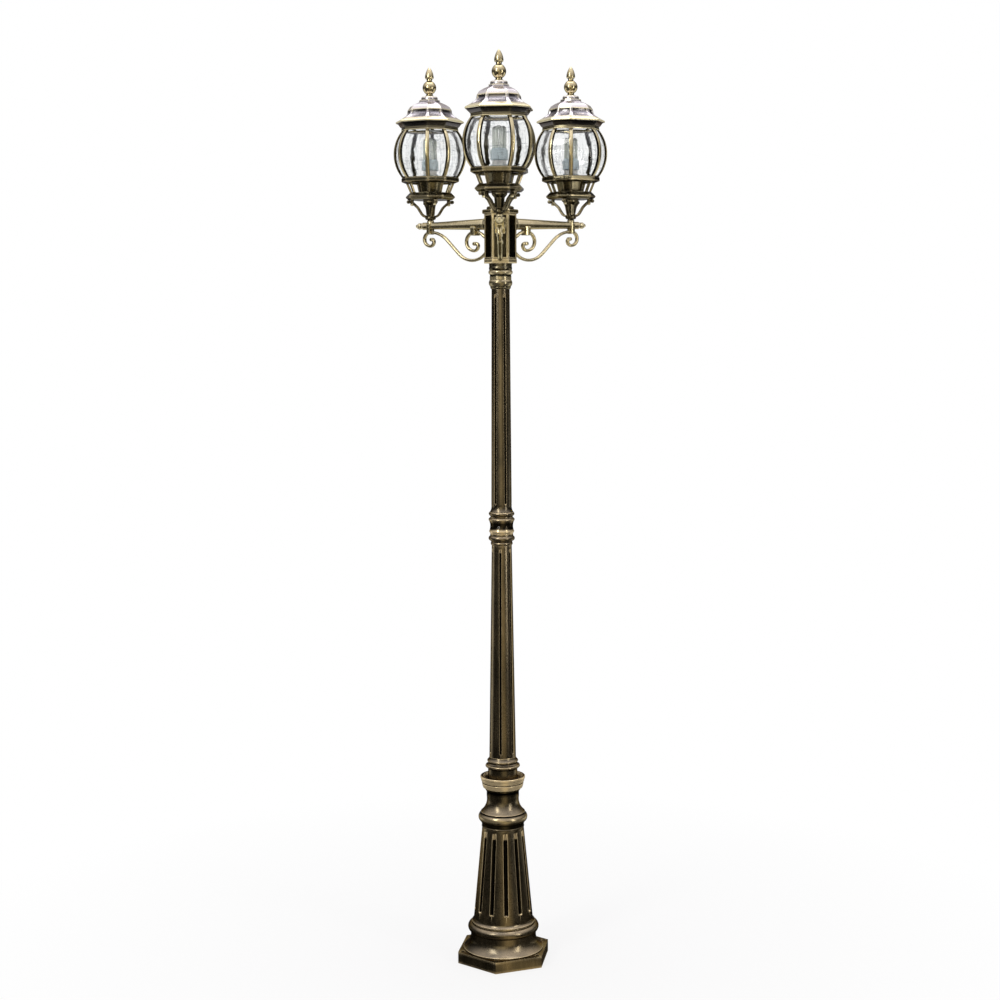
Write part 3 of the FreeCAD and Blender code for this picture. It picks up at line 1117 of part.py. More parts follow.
def lamp_cup_shape():
    low = v.flange_shelf
    step = 0.5
    outer = Part.makeLoft([wire_of([Vec(r * math.cos(STEP * (k + step)), r * math.sin(STEP * (k + step)), z)
                                    for k in range(8)])
                           for r, z in ((v.lamp_cup_low, low), (v.lamp_cup_high, v.lamp_cup_top))],
                          True, True)
    wall = v.lamp_cup_wall
    inner = Part.makeLoft([wire_of([Vec((r - wall) * math.cos(STEP * (k + step)),
                                        (r - wall) * math.sin(STEP * (k + step)), z)
                                    for k in range(8)])
                           for r, z in ((v.lamp_cup_low, low + wall),
                                        (v.lamp_cup_high, v.lamp_cup_top + 0.1))], True, True)
    return outer.cut(inner).cut(Part.makeCylinder(v.nipple_rad + v.seat_gap, 10.0, UP * (low - 1.0)))


def glass_shape():
    low = v.ring_high
    high = v.glass_top
    outer = barrel(0.0, low, high)
    inner = barrel(v.glass_thick, low, high)
    skin = outer.cut(inner)
    reach = v.rib_wide / 2.0 - 1.0
    panes = [skin]
    for index in range(8):
        slab = corner_slab(index, 40.0, 120.0, reach * 2.0, low - 1.0, high + 1.0)
        panes = [pane.cut(slab) for pane in panes]
    return panes[0]


def cage_shape(glass):
    low = v.ring_high
    high = v.glass_top
    outer = barrel(-v.rib_out, low, high)
    inner = barrel(v.glass_thick + v.rib_in, low, high)
    skin = outer.cut(inner)
    ribs = []
    for index in range(8):
        rib = skin.common(corner_slab(index, 40.0, 130.0, v.rib_wide, low - 1.0, high + 1.0))
        ribs.append(rib)
    bead = v.cage_ring_bead
    ring = moulding([(v.cage_ring_corner - bead, high), (v.cage_ring_corner, high + bead),
                     (v.cage_ring_corner, v.eave_low - bead),
                     (v.cage_ring_corner - bead, v.eave_low)])
    ring = ring.cut(moulding([(v.cage_ring_open, high - 1.0),
                              (v.cage_ring_open, v.eave_low + 1.0)]))
    whole = ring.fuse(ribs).cut(glass)
    return whole


def socket_shape():
    outline = [
        (v.nipple_rad + v.seat_gap, v.socket_base), (v.socket_rad, v.socket_base),
        (v.socket_rad, v.socket_top - 12.0), (v.socket_skirt, v.socket_top - 11.0),
        (v.socket_skirt, v.socket_top), (v.socket_well, v.socket_top),
        (v.socket_well, v.socket_top - v.socket_well_deep),
        (v.nipple_rad + v.seat_gap, v.socket_top - v.socket_well_deep)]
    points = [Vec(r, 0, z) for r, z in outline]
    return Part.Face(wire_of(points)).revolve(ORIGIN, UP, 360)


def bulb_shape():
    low = v.socket_top - v.socket_well_deep + 16.0
    outline = [
        (0.0, low), (v.bulb_cap_rad - 4.0, low), (v.bulb_cap_rad, low + 4.0),
        (v.bulb_cap_rad, v.bulb_base), (v.bulb_body_rad - 1.0, v.bulb_base),
        (v.bulb_body_rad, v.bulb_base + 2.0), (v.bulb_body_rad, v.bulb_body_top - v.bulb_shoulder),
        (v.bulb_body_rad - v.bulb_shoulder * 0.7, v.bulb_body_top), (0.0, v.bulb_body_top)]
    whole = Part.Face(wire_of([Vec(r, 0, z) for r, z in outline])).revolve(ORIGIN, UP, 360)
    top = v.tube_top - v.tube_rad
    bend = v.tube_ring * 0.5
    for turn in (0.0, 120.0, 240.0):
        legs = []
        for side in (-1.0, 1.0):
            legs.append(Part.makeCylinder(v.tube_rad, top - bend - v.bulb_body_top + 2.0,
                                          Vec(side * bend, -v.tube_ring, v.bulb_body_top - 2.0)))
        arch = Part.makeTorus(bend, v.tube_rad, Vec(0, -v.tube_ring, top - bend), Vec(0, 1, 0))
        arch = arch.common(Part.makeBox(60, 60, 40, Vec(-30, -v.tube_ring - 30, top - bend)))
        loop = legs[0].fuse([legs[1], arch])
        spin = FreeCAD.Placement(ORIGIN, FreeCAD.Rotation(UP, turn))
        whole = whole.fuse(loop.transformed(spin.toMatrix()))
    return whole


def roof_shape():
    levels = [
        (v.eave_low_corner, v.eave_low), (v.eave_lip_corner, v.eave_lip),
        (v.brim_edge_corner_wide, v.brim_edge), (v.brim_edge_corner_wide - 2.5, v.brim_edge + 3.0),
        (v.brim_slope_corner, v.brim_slope), (v.cove_corner + 4.0, v.cove_low - 3.0),
        (v.cove_corner, v.cove_low + 1.0), (v.cove_corner - 1.0, v.cove_high),
        (v.shoulder_corner, v.cove_high + 1.5), (v.shoulder_mid_corner, v.shoulder_mid),
        (v.shoulder_high_corner, v.shoulder_high), (v.roof_tier_corner, v.roof_tier),
        (v.roof_tier_corner, v.roof_tier_high)]
    outer = moulding(levels)
    wall = v.roof_wall
    hollow = moulding([
        (v.eave_low_corner - wall * 2.0, v.eave_low - 1.0),
        (v.eave_low_corner - wall * 2.0, v.brim_edge),
        (v.cove_corner - wall * 1.5, v.cove_low - wall), (v.cove_corner - wall * 2.0, v.cove_high - wall),
        (v.shoulder_high_corner - wall * 2.0, v.shoulder_mid),
        (v.roof_tier_corner - wall * 2.0, v.roof_tier - wall)])
    collar = moulding([(v.roof_collar_corner, v.roof_tier_high - 1.0),
                       (v.roof_collar_corner, v.roof_top - 1.5),
                       (v.roof_collar_corner - 1.5, v.roof_top)])
    whole = outer.cut(hollow).fuse(collar)
    return whole.cut(Part.makeCylinder(v.roof_hole, 60.0, UP * (v.roof_top - 50.0))).removeSplitter()


def bridge_shape():
    half = v.cage_ring_open * math.cos(math.radians(v.corner_angle))
    plate = Part.makeBox(half * 2.0, v.bridge_wide, v.bridge_thick,
                         Vec(-half, -v.bridge_wide / 2.0, v.bridge_level - v.bridge_thick))
    stud = Part.makeCylinder(v.bridge_stud, v.stud_top - v.bridge_level, UP * v.bridge_level)
    foot_nut = Part.makeCylinder(v.bridge_stud * 1.9, 5.0, UP * v.bridge_level)
    return plate.fuse([stud, foot_nut])


def finial(label):
    return turned(label, [
        (S.bridge_stud + S.run_gap, S.roof_top), (S.finial_base_rad, S.roof_top),
        (S.finial_base_rad, S.roof_top + 2.0), (S.finial_neck, S.roof_top + 4.0),
        (S.finial_neck, S.finial_ball_level - S.finial_ball_rad * 0.88),
        (S.finial_ball_rad, S.finial_ball_level, 0.26),
        (S.finial_waist, S.finial_ball_level + S.finial_ball_rad * 0.92, 0.28),
        (S.finial_waist, S.spike_level), (S.spike_rad - 1.0, S.spike_level),
        (S.spike_rad, S.spike_belly), (1.2, S.spike_tip - 1.0, 0.16), (0.0, S.spike_tip),
        (0.0, S.stud_top + 1.0), (S.bridge_stud + S.run_gap, S.stud_top + 1.0)])


stand_solid = stand_shape()
gallery_solid = gallery_shape()
lamp_cup_solid = lamp_cup_shape()
socket_solid = socket_shape()
bulb_solid = bulb_shape()
glass_solid = glass_shape()
cage_solid = cage_shape(glass_solid)
bridge_solid = bridge_shape()
roof_solid = roof_shape()
screw_solid = bracket_screw(bracket_seat_level())
screws = []
for word, turn in ARMS:
    for base, shape in (
            ("stand_", stand_solid), ("gallery_", gallery_solid), ("lamp_cup_", lamp_cup_solid),
            ("socket_", socket_solid), ("bulb_", bulb_solid), ("glass_", glass_solid),
            ("cage_", cage_solid), ("bridge_", bridge_solid), ("roof_", roof_solid)):
        piece = feature(base + word, shape)
        place(piece, turn, v.reach, LANTERN_SPIN[word])
        NODES.append(piece)
    tip = finial("finial_" + word)
    place(tip, turn, v.reach, LANTERN_SPIN[word])
    NODES.append(tip)
    for quarter in range(4):
        angle = math.radians(turn)
        away = Vec(v.reach * math.sin(angle), -v.reach * math.cos(angle), 0)
        out = math.radians(turn + LANTERN_SPIN[word] - 45.0 + 90.0 * quarter)
        spot = away + Vec(math.cos(out), math.sin(out), 0) * v.bracket_screw_reach
        screws.append(screw_solid.translated(spot))
NODES.append(feature("bracket_screws", Part.makeCompound(screws)))

# ------------------------------------------------------------------ checks and writing
doc.recompute()
faults = [item.Name for item in doc.Objects if "Invalid" in item.State or "Error" in item.State]
for node in NODES:
    if node.Shape.isNull() or not node.Shape.isValid() or not node.Shape.Solids:
        faults.append(node.Label)
if faults:
    raise RuntimeError("faults in " + ", ".join(faults))
os.makedirs("parts", exist_ok=True)
for node in NODES:
    node.Shape.exportStep("parts/" + node.Label + ".step")
    print(node.Label, len(node.Shape.Solids), round(node.Shape.Volume / 1000.0, 1))
print(len(NODES), "nodes written")
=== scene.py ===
import bmesh
import bpy
import math
from mathutils import Matrix, Vector


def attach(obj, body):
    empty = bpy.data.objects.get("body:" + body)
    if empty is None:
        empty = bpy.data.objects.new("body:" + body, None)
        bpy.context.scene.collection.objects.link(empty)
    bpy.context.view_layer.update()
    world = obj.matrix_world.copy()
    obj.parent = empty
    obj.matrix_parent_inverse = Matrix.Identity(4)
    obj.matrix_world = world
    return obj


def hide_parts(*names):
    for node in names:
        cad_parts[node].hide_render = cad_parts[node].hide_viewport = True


bl_info = {
    "name": "Triple head lamp post",
    "version": (1, 0, 0),
    "blender": (4, 5, 0),
    "location": "View3D > Sidebar > Lamp post",
    "description": "Builds the dressed pieces, materials and stage of a three-headed lamp post",
    "category": "Object",
}

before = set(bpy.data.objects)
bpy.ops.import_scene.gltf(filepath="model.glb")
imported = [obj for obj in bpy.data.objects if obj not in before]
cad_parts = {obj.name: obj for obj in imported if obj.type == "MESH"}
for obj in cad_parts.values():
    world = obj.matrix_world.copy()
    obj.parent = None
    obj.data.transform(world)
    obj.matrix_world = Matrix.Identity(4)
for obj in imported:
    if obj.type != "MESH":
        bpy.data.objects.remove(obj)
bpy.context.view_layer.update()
MM = 0.001
ARMS = (("front", 0.0, -5.3), ("right", 120.0, -4.2), ("left", -120.0, 1.1))
MATERIALS = {}


# ---------------------------------------------------------------- settings
class LampShape(bpy.types.PropertyGroup):
    turn_steps: bpy.props.IntProperty(
        name="Turning steps", description="Faces around a turned piece", default=96, min=24)
    edge_round: bpy.props.FloatProperty(
        name="Edge round", description="Radius of the softened edges of the arms' collars",
        default=0.0007, unit="LENGTH", subtype="DISTANCE")
    glass_ripple: bpy.props.FloatProperty(
        name="Glass ripple", description="Height of the waves in the panes",
        default=0.00018, unit="LENGTH", subtype="DISTANCE")
    reach: bpy.props.FloatProperty(
        name="Reach", description="Distance from the post to each lantern's axis",
        default=0.2075, unit="LENGTH", subtype="DISTANCE")


class LampFinish(bpy.types.PropertyGroup):
    wear: bpy.props.FloatProperty(
        name="Rubbed gold", description="How far the gold shows through on crests",
        default=1.0, min=0.0, max=2.0, subtype="FACTOR")
    patina_scale: bpy.props.FloatProperty(
        name="Patina scale", description="Blotches per metre in the brown lacquer", default=16.0)


class LampStage(bpy.types.PropertyGroup):
    focal: bpy.props.FloatProperty(
        name="Focal length", description="Lens on a 36 mm sensor, in millimetres", default=63.612)
    distance: bpy.props.FloatProperty(
        name="Camera distance", description="From the post's axis to the camera",
        default=4.4767, unit="LENGTH", subtype="DISTANCE")
    height: bpy.props.FloatProperty(
        name="Camera height", description="Above the ground",
        default=1.6913, unit="LENGTH", subtype="DISTANCE")
    key_power: bpy.props.FloatProperty(
        name="Key light", description="Power of the large soft light", default=55.0)


# ---------------------------------------------------------------- mesh helpers
def sample(rows, steps=7):
    """Points of an outline in mm whose rows are (across, level) or (across, level, bulge)."""
    points = []
    for index, row in enumerate(rows):
        end = Vector((row[0], row[1]))
        if len(row) > 2:
            start = Vector(rows[index - 1][:2])
            half = (end - start) * 0.5
            side = Vector((half.y, -half.x)) * (1.0 if row[2] > 0 else -1.0)
            side.normalize()
            rise = abs(row[2]) * half.length
            radius = (half.length ** 2 + rise ** 2) / (2.0 * rise)
            centre = start + half - side * (radius - rise)
            first = start - centre
            total = 4.0 * math.atan(abs(row[2])) * (1.0 if row[2] > 0 else -1.0)
            for step in range(1, steps):
                angle = total * step / steps
                points.append(centre + Matrix.Rotation(angle, 2) @ first)
        points.append(end)
    return points


def soften(points, radius, closed=True):
    """Rounds the sharp corners of an outline."""
    result = []
    count = len(points)
    for index, spot in enumerate(points):
        if not closed and index in (0, count - 1):
            result.append(spot)
            continue
        before = points[index - 1] - spot
        after = points[(index + 1) % count] - spot
        if min(before.length, after.length) < 1e-6 or spot.x < 1e-6:
            result.append(spot)
            continue
        bend = math.pi - before.angle(after)
        if bend < 0.35:
            result.append(spot)
            continue
        cut = min(radius, before.length * 0.42, after.length * 0.42)
        a = spot + before.normalized() * cut
        b = spot + after.normalized() * cut
        result.extend([a, spot * 0.5 + (a + b) * 0.25, b])
    return result


def spaced(points, near=1.3):
    """Adds points close to the ends of long runs, so that wear stays near the corners."""
    result = []
    for index, spot in enumerate(points):
        result.append(spot)
        line = points[(index + 1) % len(points)] - spot
        if line.length > near * 3.0:
            result.append(spot + line.normalized() * near)
            result.append(spot + line - line.normalized() * near)
    return result


def mesh_from(name, verts, faces):
    """A mesh in metres of points in mm."""
    mesh = bpy.data.meshes.new(name)
    mesh.from_pydata([tuple(Vector(v) * MM) for v in verts], [], faces)
    mesh.validate()
    return mesh


def stored(mesh, word, values):
    """Keeps one number per point on a mesh, under a name."""
    layer = mesh.attributes.get(word) or mesh.attributes.new(word, "FLOAT", "POINT")
    layer.data.foreach_set("value", values)


def toned(mesh, tones):
    """Stores a tone per point: above 0 turns a casting gold, as gilding and as painted highlight;
    below 0 darkens it, as painted shade in hollows and under overhangs, and all over on the stands
    and galleries.
    """
    stored(mesh, "tone", tones)
    return mesh


def ring_faces(rows, count, closed=False):
    """Faces round rows of count points; closed joins the last row to the first."""
    faces = []
    for row in range(rows if closed else rows - 1):
        above = (row + 1) % rows
        for step in range(count):
            following = (step + 1) % count
            faces.append((row * count + step, row * count + following,
                          above * count + following, above * count + step))
    return faces


def lathe_mesh(name, rows, radius=0.7, steps=0, arc_steps=7, bands=()):
    """Turns a closed outline about the upright axis.

    bands are (lowest radius, low, high, tone): the gilded bands round it, the bands of painted
    highlight and painted reflection, and the bands of painted shade."""
    count = steps or bpy.context.scene.lamp_shape.turn_steps
    points = spaced(soften(sample(rows, arc_steps), radius))
    verts = []
    rings = []
    for point in points:
        if point.x < 1e-4:
            rings.append([len(verts)])
            verts.append((0.0, 0.0, point.y))
            continue
        rings.append(list(range(len(verts), len(verts) + count)))
        for step in range(count):
            angle = math.tau * step / count
            verts.append((point.x * math.cos(angle), point.x * math.sin(angle), point.y))
    faces = []
    for index in range(len(rings)):
        low = rings[index]
        high = rings[(index + 1) % len(rings)]
        if len(low) == 1 and len(high) == 1:
            continue
        for step in range(count):
            following = (step + 1) % count
            if len(low) == 1:
                faces.append((low[0], high[following], high[step]))
            elif len(high) == 1:
                faces.append((low[step], low[following], high[0]))
            else:
                faces.append((low[step], low[following], high[following], high[step]))
    mesh = mesh_from(name, verts, faces)
    tones = []
    for x, y, level in verts:
        out = math.hypot(x, y)
        found = [tone for least, low, high, tone in bands if out >= least and low <= level <= high]
        tones.append(found[0] if found else 0.0)
    return toned(mesh, tones)


def flute_shade_and_highlight(level, sink, spot, start, end, near, blunt):
    """Painted shade, black, inside a flute; painted highlight, bright, at its round foot and at
    its run-out.
    """
    if sink == 0.0 or abs(spot) > 0.95:
        return 0.0
    if level > end - blunt * 0.8:
        return 0.7
    if level < start + near * 0.45:
        return 0.9
    return -1.0 if abs(spot) < 0.8 else -0.3


def fluted_mesh(name, low, high, inner, start, end, turn, extra=(), *, count, wide, deep, blunt,
                spare):
    """A tapered tube with long sunk flutes from start to end, blunt at the top.

    low and high are (radius, level); extra rows of (radius, level) sit below the taper."""
    inside = (-1.0, -0.9, -0.7, -0.4, 0.0, 0.4, 0.7, 0.9, 1.0)
    levels = [low[1]]
    near = wide * 0.5
    for step in range(9):
        levels.append(start + near * (1.0 - math.cos(math.pi * 0.5 * step / 8.0)))
    span = end - start
    for step in range(1, 14):
        levels.append(start + near + (span - near - blunt) * step / 14.0)
    for step in range(9):
        levels.append(end - blunt + blunt * step / 8.0)
    levels.append(high[1])
    levels = sorted(set(round(level, 4) for level in levels))
    verts = []
    tones = []
    rings = []
    for radius, level in extra:
        rings.append((radius, level, 0.0, 0.3))
    for level in levels:
        along = (level - low[1]) / (high[1] - low[1])
        radius = low[0] + (high[0] - low[0]) * along
        if level <= start or level >= end:
            rings.append((radius, level, 0.0, 0.12))
            continue
        size = 1.0
        if level < start + near:
            size = math.sqrt(max(0.0, 1.0 - ((start + near - level) / near) ** 2))
        if level > end - blunt:
            size = min(size, math.sqrt(max(0.0, (end - level) / blunt)))
        rings.append((radius, level, deep * min(1.0, size * 1.25), max(0.12, size)))
    columns = 0
    for radius, level, sink, size in rings:
        half = wide * 0.5 * size / radius
        edge = wide * 0.5 / radius * 1.18
        sector = math.tau / count
        columns = 0
        for flute in range(count):
            middle = sector * flute + math.radians(turn)
            for spot in inside:
                down = sink * (1.0 - abs(spot) ** 2.6)
                angle = middle + spot * half
                verts.append(((radius - down) * math.cos(angle), (radius - down) * math.sin(angle),
                              level))
                tones.append(flute_shade_and_highlight(level, sink, spot, start, end, near, blunt))
                columns += 1
            for step in range(spare):
                angle = middle + edge + (sector - 2.0 * edge) * step / (spare - 1.0)
                verts.append((radius * math.cos(angle), radius * math.sin(angle), level))
                tones.append(0.0)
                columns += 1
    faces = ring_faces(len(rings), columns)
    base = len(verts)
    for level in (rings[0][1], rings[-1][1]):
        for column in range(columns):
            spot = Vector(verts[column if level == rings[0][1] else column + base - columns])
            flat = Vector((spot.x, spot.y)).normalized() * inner
            verts.append((flat.x, flat.y, level))
            # painted shade: darker towards the bore
            tones.append(-0.5)
    for column in range(columns):
        following = (column + 1) % columns
        faces.append((column, base + column, base + following, following))
        faces.append((base - columns + column, base - columns + following,
                      base + columns + following, base + columns + column))
        faces.append((base + column, base + columns + column,
                      base + columns + following, base + following))
    return toned(mesh_from(name, verts, faces), tones)


def sweep_mesh(name, path, section):
    """Sweeps a section of (side, up) points along an upright plane path of (reach, level)."""
    verts = []
    count = len(section)
    for index, spot in enumerate(path):
        before = path[max(0, index - 1)]
        after = path[min(len(path) - 1, index + 1)]
        way = (after - before).normalized()
        normal = Vector((-way.y, way.x))
        for side, up in section:
            place = spot + normal * up
            verts.append((side, -place.x, place.y))
    faces = []
    for index in range(len(path) - 1):
        for step in range(count):
            following = (step + 1) % count
            faces.append((index * count + step, (index + 1) * count + step,
                          (index + 1) * count + following, index * count + following))
    faces.append(tuple(range(count)))
    faces.append(tuple(reversed(range((len(path) - 1) * count, len(path) * count))))
    return mesh_from(name, verts, faces)


def arc_path(heading, steps, anchor_index, anchor):
    """Samples tangent arcs (radius, turn in degrees) and lines ("line", length).

    The path is shifted so that the end of step anchor_index lies at anchor."""
    spot = Vector((0.0, 0.0))
    marks = [spot.copy()]
    points = [spot.copy()]
    for kind, size in steps:
        if kind == "line":
            pieces = max(2, int(size / 6.0))
            way = Vector((math.cos(heading), math.sin(heading)))
            for step in range(pieces):
                points.append(spot + way * size * (step + 1) / pieces)
            spot = points[-1].copy()
        else:
            sign = 1.0 if size > 0 else -1.0
            centre = spot + Vector((-math.sin(heading), math.cos(heading))) * kind * sign
            away = spot - centre
            pieces = max(3, int(abs(size) / 8.0))
            for step in range(pieces):
                angle = math.radians(size) * (step + 1) / pieces
                points.append(centre + Matrix.Rotation(angle, 2) @ away)
            spot = points[-1].copy()
            heading += math.radians(size)
        marks.append(spot.copy())
    shift = Vector(anchor) - marks[anchor_index]
    return [point + shift for point in points]


def rounded_bar(wide, thick, crown=0.4, corner=2.9):
    """Section of a flat bar with soft corners and slightly crowned faces."""
    points = []
    for sx, sy in ((1, 1), (-1, 1), (-1, -1), (1, -1)):
        centre = Vector((sx * (wide / 2.0 - corner), sy * (thick / 2.0 - corner)))
        first = {(1, 1): 0.0, (-1, 1): 90.0, (-1, -1): 180.0, (1, -1): 270.0}[(sx, sy)]
        for step in range(4):
            angle = math.radians(first + 30.0 * step)
            points.append(centre + Vector((math.cos(angle), math.sin(angle))) * corner)
        if sx * sy > 0:
            points.append(Vector((0.0, sy * (thick / 2.0 + crown))))
    return [(p.x, p.y) for p in points]


def worked(name, work):
    """Turns an edited bmesh into a new mesh."""
    mesh = bpy.data.meshes.new(name)
    work.to_mesh(mesh)
    work.free()
    return mesh


def joined(name, meshes):
    """One mesh of several, with every closed shell's faces turned outward."""
    work = bmesh.new()
    for mesh in meshes:
        work.from_mesh(mesh)
    bmesh.ops.recalc_face_normals(work, faces=work.faces)
    return worked(name, work)


def moved(mesh, matrix):
    """A copy of a mesh in another place."""
    copy = mesh.copy()
    copy.transform(matrix)
    return copy


def placed(name, data):
    """An object of this scene that shows a mesh, a light or a camera."""
    item = bpy.data.objects.new(name, data)
    bpy.context.scene.collection.objects.link(item)
    return item


def baked(item):
    """The mesh that an object's modifiers make; the object itself goes."""
    graph = bpy.context.evaluated_depsgraph_get()
    graph.update()
    result = bpy.data.meshes.new_from_object(item.evaluated_get(graph))
    bpy.data.objects.remove(item)
    return result


def bevelled(mesh, width, segments=2, limit=28.0):
    """Rounds every edge that bends by more than the limit, in degrees."""
    item = placed("work", mesh)
    bevel = item.modifiers.new("edge round", "BEVEL")
    bevel.width = width
    bevel.segments = segments
    bevel.limit_method = "ANGLE"
    bevel.angle_limit = math.radians(limit)
    bevel.use_clamp_overlap = True
    return baked(item)


def cut_with(mesh, other, operation):
    """Joins another closed mesh to this one, or takes it away."""
    tool = placed("tool", joined("tool", [other]))
    item = placed("work", mesh)
    cut = item.modifiers.new("cut", "BOOLEAN")
    cut.object = tool
    cut.operation = operation
    cut.solver = "EXACT"
    result = baked(item)
    bpy.data.objects.remove(tool)
    return result


def mark_wear_and_hollow_shade(mesh, low=35.0, high=260.0):
    """Stores how strongly each point bulges, as the attribute that rubs the gold through; points
    that sink get a value that paints shade in hollows.
    """
    work = bmesh.new()
    work.from_mesh(mesh)
    work.normal_update()
    values = []
    for vert in work.verts:
        total = 0.0
        weight = 0.0
        for edge in vert.link_edges:
            other = edge.other_vert(vert)
            line = vert.co - other.co
            length = line.length
            if length < 1e-6:
                continue
            total += vert.normal.dot(line) / length / max(length, 0.0004)
            weight += 1.0
        bend = total / weight if weight else 0.0
        values.append(max(-1.0, min(1.0, (abs(bend) - low) / (high - low)))
                      * (1.0 if bend > 0 else -1.0) if abs(bend) > low else 0.0)
    work.free()
    stored(mesh, "rub_and_hollow_shade", values)


def finished(mesh, angle=32.0):
    """Smooth faces, sharp edges above an angle, and the wear and painted hollow shade of each
    point.
    """
    mesh.polygons.foreach_set("use_smooth", [True] * len(mesh.polygons))
    mesh.set_sharp_from_angle(angle=math.radians(angle))
    mark_wear_and_hollow_shade(mesh)
    return mesh


def piece(name, mesh, material, body, nodes, angle=32.0):
    """Puts a finished mesh on a body in place of CAD nodes."""
    mesh = finished(mesh, angle)
    mesh.name = name
    mesh.materials.clear()
    mesh.materials.append(MATERIALS[material])
    item = placed(name, mesh)
    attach(item, body)
    if nodes:
        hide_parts(*nodes)
    return item


def cad_mesh(node, width, limit=24.0):
    """A copy of a CAD node's mesh with flat areas merged and its edges rounded."""
    work = bmesh.new()
    work.from_mesh(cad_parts[node].data)
    bmesh.ops.remove_doubles(work, verts=work.verts, dist=0.00002)
    bmesh.ops.dissolve_limit(work, angle_limit=math.radians(1.0), verts=work.verts,
                             edges=work.edges)
    return refined(bevelled(worked(node + "_soft", work), width, 2, limit))


def cast(name, node, width, limit, material, tone=0.0):
    """Dresses a fixed CAD node in its own shape with rounded edges, in one tone."""
    mesh = cad_mesh(node, width, limit)
    if tone:
        toned(mesh, [tone] * len(mesh.vertices))
    piece(name, mesh, material, "post", [node])


def refined(mesh, longest=0.006):
    """Cuts up edges over a length in metres, so that wear and tone stay near corners."""
    work = bmesh.new()
    work.from_mesh(mesh)
    bmesh.ops.triangulate(work, faces=[face for face in work.faces if len(face.verts) > 4])
    for _ in range(3):
        long = [edge for edge in work.edges if edge.calc_length() > longest]
        if not long:
            break
        bmesh.ops.subdivide_edges(work, edges=long, cuts=1, use_grid_fill=True)
        bmesh.ops.triangulate(work, faces=[face for face in work.faces if len(face.verts) > 4])
    return worked(mesh.name, work)


def arm_matrix(turn, reach=0.0, spin=0.0):
    """Place of an arm, or of the lantern that stands on it turned by spin."""
    place = Matrix.Rotation(math.radians(turn), 4, "Z") @ Matrix.Translation((0.0, -reach, 0.0))
    return place @ Matrix.Rotation(math.radians(spin), 4, "Z")


# ---------------------------------------------------------------- geometry nodes
def copies_group():
    """Node group that puts a piece on every point, turned by the point's own attribute."""
    group = bpy.data.node_groups.get("copies_on_points")
    if group:
        return group
    group = bpy.data.node_groups.new("copies_on_points", "GeometryNodeTree")
    face = group.interface
    face.new_socket(name="Points", in_out="INPUT", socket_type="NodeSocketGeometry")
    face.new_socket(name="Piece", in_out="INPUT", socket_type="NodeSocketObject")
    face.new_socket(name="Material", in_out="INPUT", socket_type="NodeSocketMaterial")
    face.new_socket(name="Geometry", in_out="OUTPUT", socket_type="NodeSocketGeometry")
    nodes = group.nodes
    start = nodes.new("NodeGroupInput")
    info = nodes.new("GeometryNodeObjectInfo")
    turn = nodes.new("GeometryNodeInputNamedAttribute")
    turn.data_type = "FLOAT"
    turn.inputs["Name"].default_value = "turn"
    spin = nodes.new("ShaderNodeCombineXYZ")
    put = nodes.new("GeometryNodeInstanceOnPoints")
    real = nodes.new("GeometryNodeRealizeInstances")
    paint = nodes.new("GeometryNodeSetMaterial")
    end = nodes.new("NodeGroupOutput")
    link = group.links.new
    link(start.outputs["Points"], put.inputs["Points"])
    link(start.outputs["Piece"], info.inputs["Object"])
    link(info.outputs["Geometry"], put.inputs["Instance"])
    link(turn.outputs["Attribute"], spin.inputs["Z"])
    link(spin.outputs["Vector"], put.inputs["Rotation"])
    link(put.outputs["Instances"], real.inputs["Geometry"])
    link(real.outputs["Geometry"], paint.inputs["Geometry"])
    link(start.outputs["Material"], paint.inputs["Material"])
    link(paint.outputs["Geometry"], end.inputs["Geometry"])
    return group


def repeated(mesh, spots, material):
    """One mesh of copies of a piece; spots are (x, y, z, turn in degrees), in metres."""
    seed = placed("seed", mesh)
    points = bpy.data.meshes.new("spots")
    points.from_pydata([spot[:3] for spot in spots], [], [])
    stored(points, "turn", [math.radians(spot[3]) for spot in spots])
    item = placed("spots", points)
    modifier = item.modifiers.new("copies", "NODES")
    modifier.node_group = copies_group()
    names = {socket.name: socket.identifier for socket in modifier.node_group.interface.items_tree
             if socket.item_type == "SOCKET" and socket.in_out == "INPUT"}
    modifier[names["Piece"]] = seed
    modifier[names["Material"]] = MATERIALS[material]
    result = baked(item)
    if not result.polygons:
        raise RuntimeError("no copies were made")
    bpy.data.objects.remove(seed)
    return result


# ---------------------------------------------------------------- materials
# noise cells per metre, and heights of the finest relief in metres
STREAK_SCALE = 520.0
GRAIN_SCALE = 900.0
GRAIN_HEIGHT = 0.0002
GLASS_WAVE = 0.0006


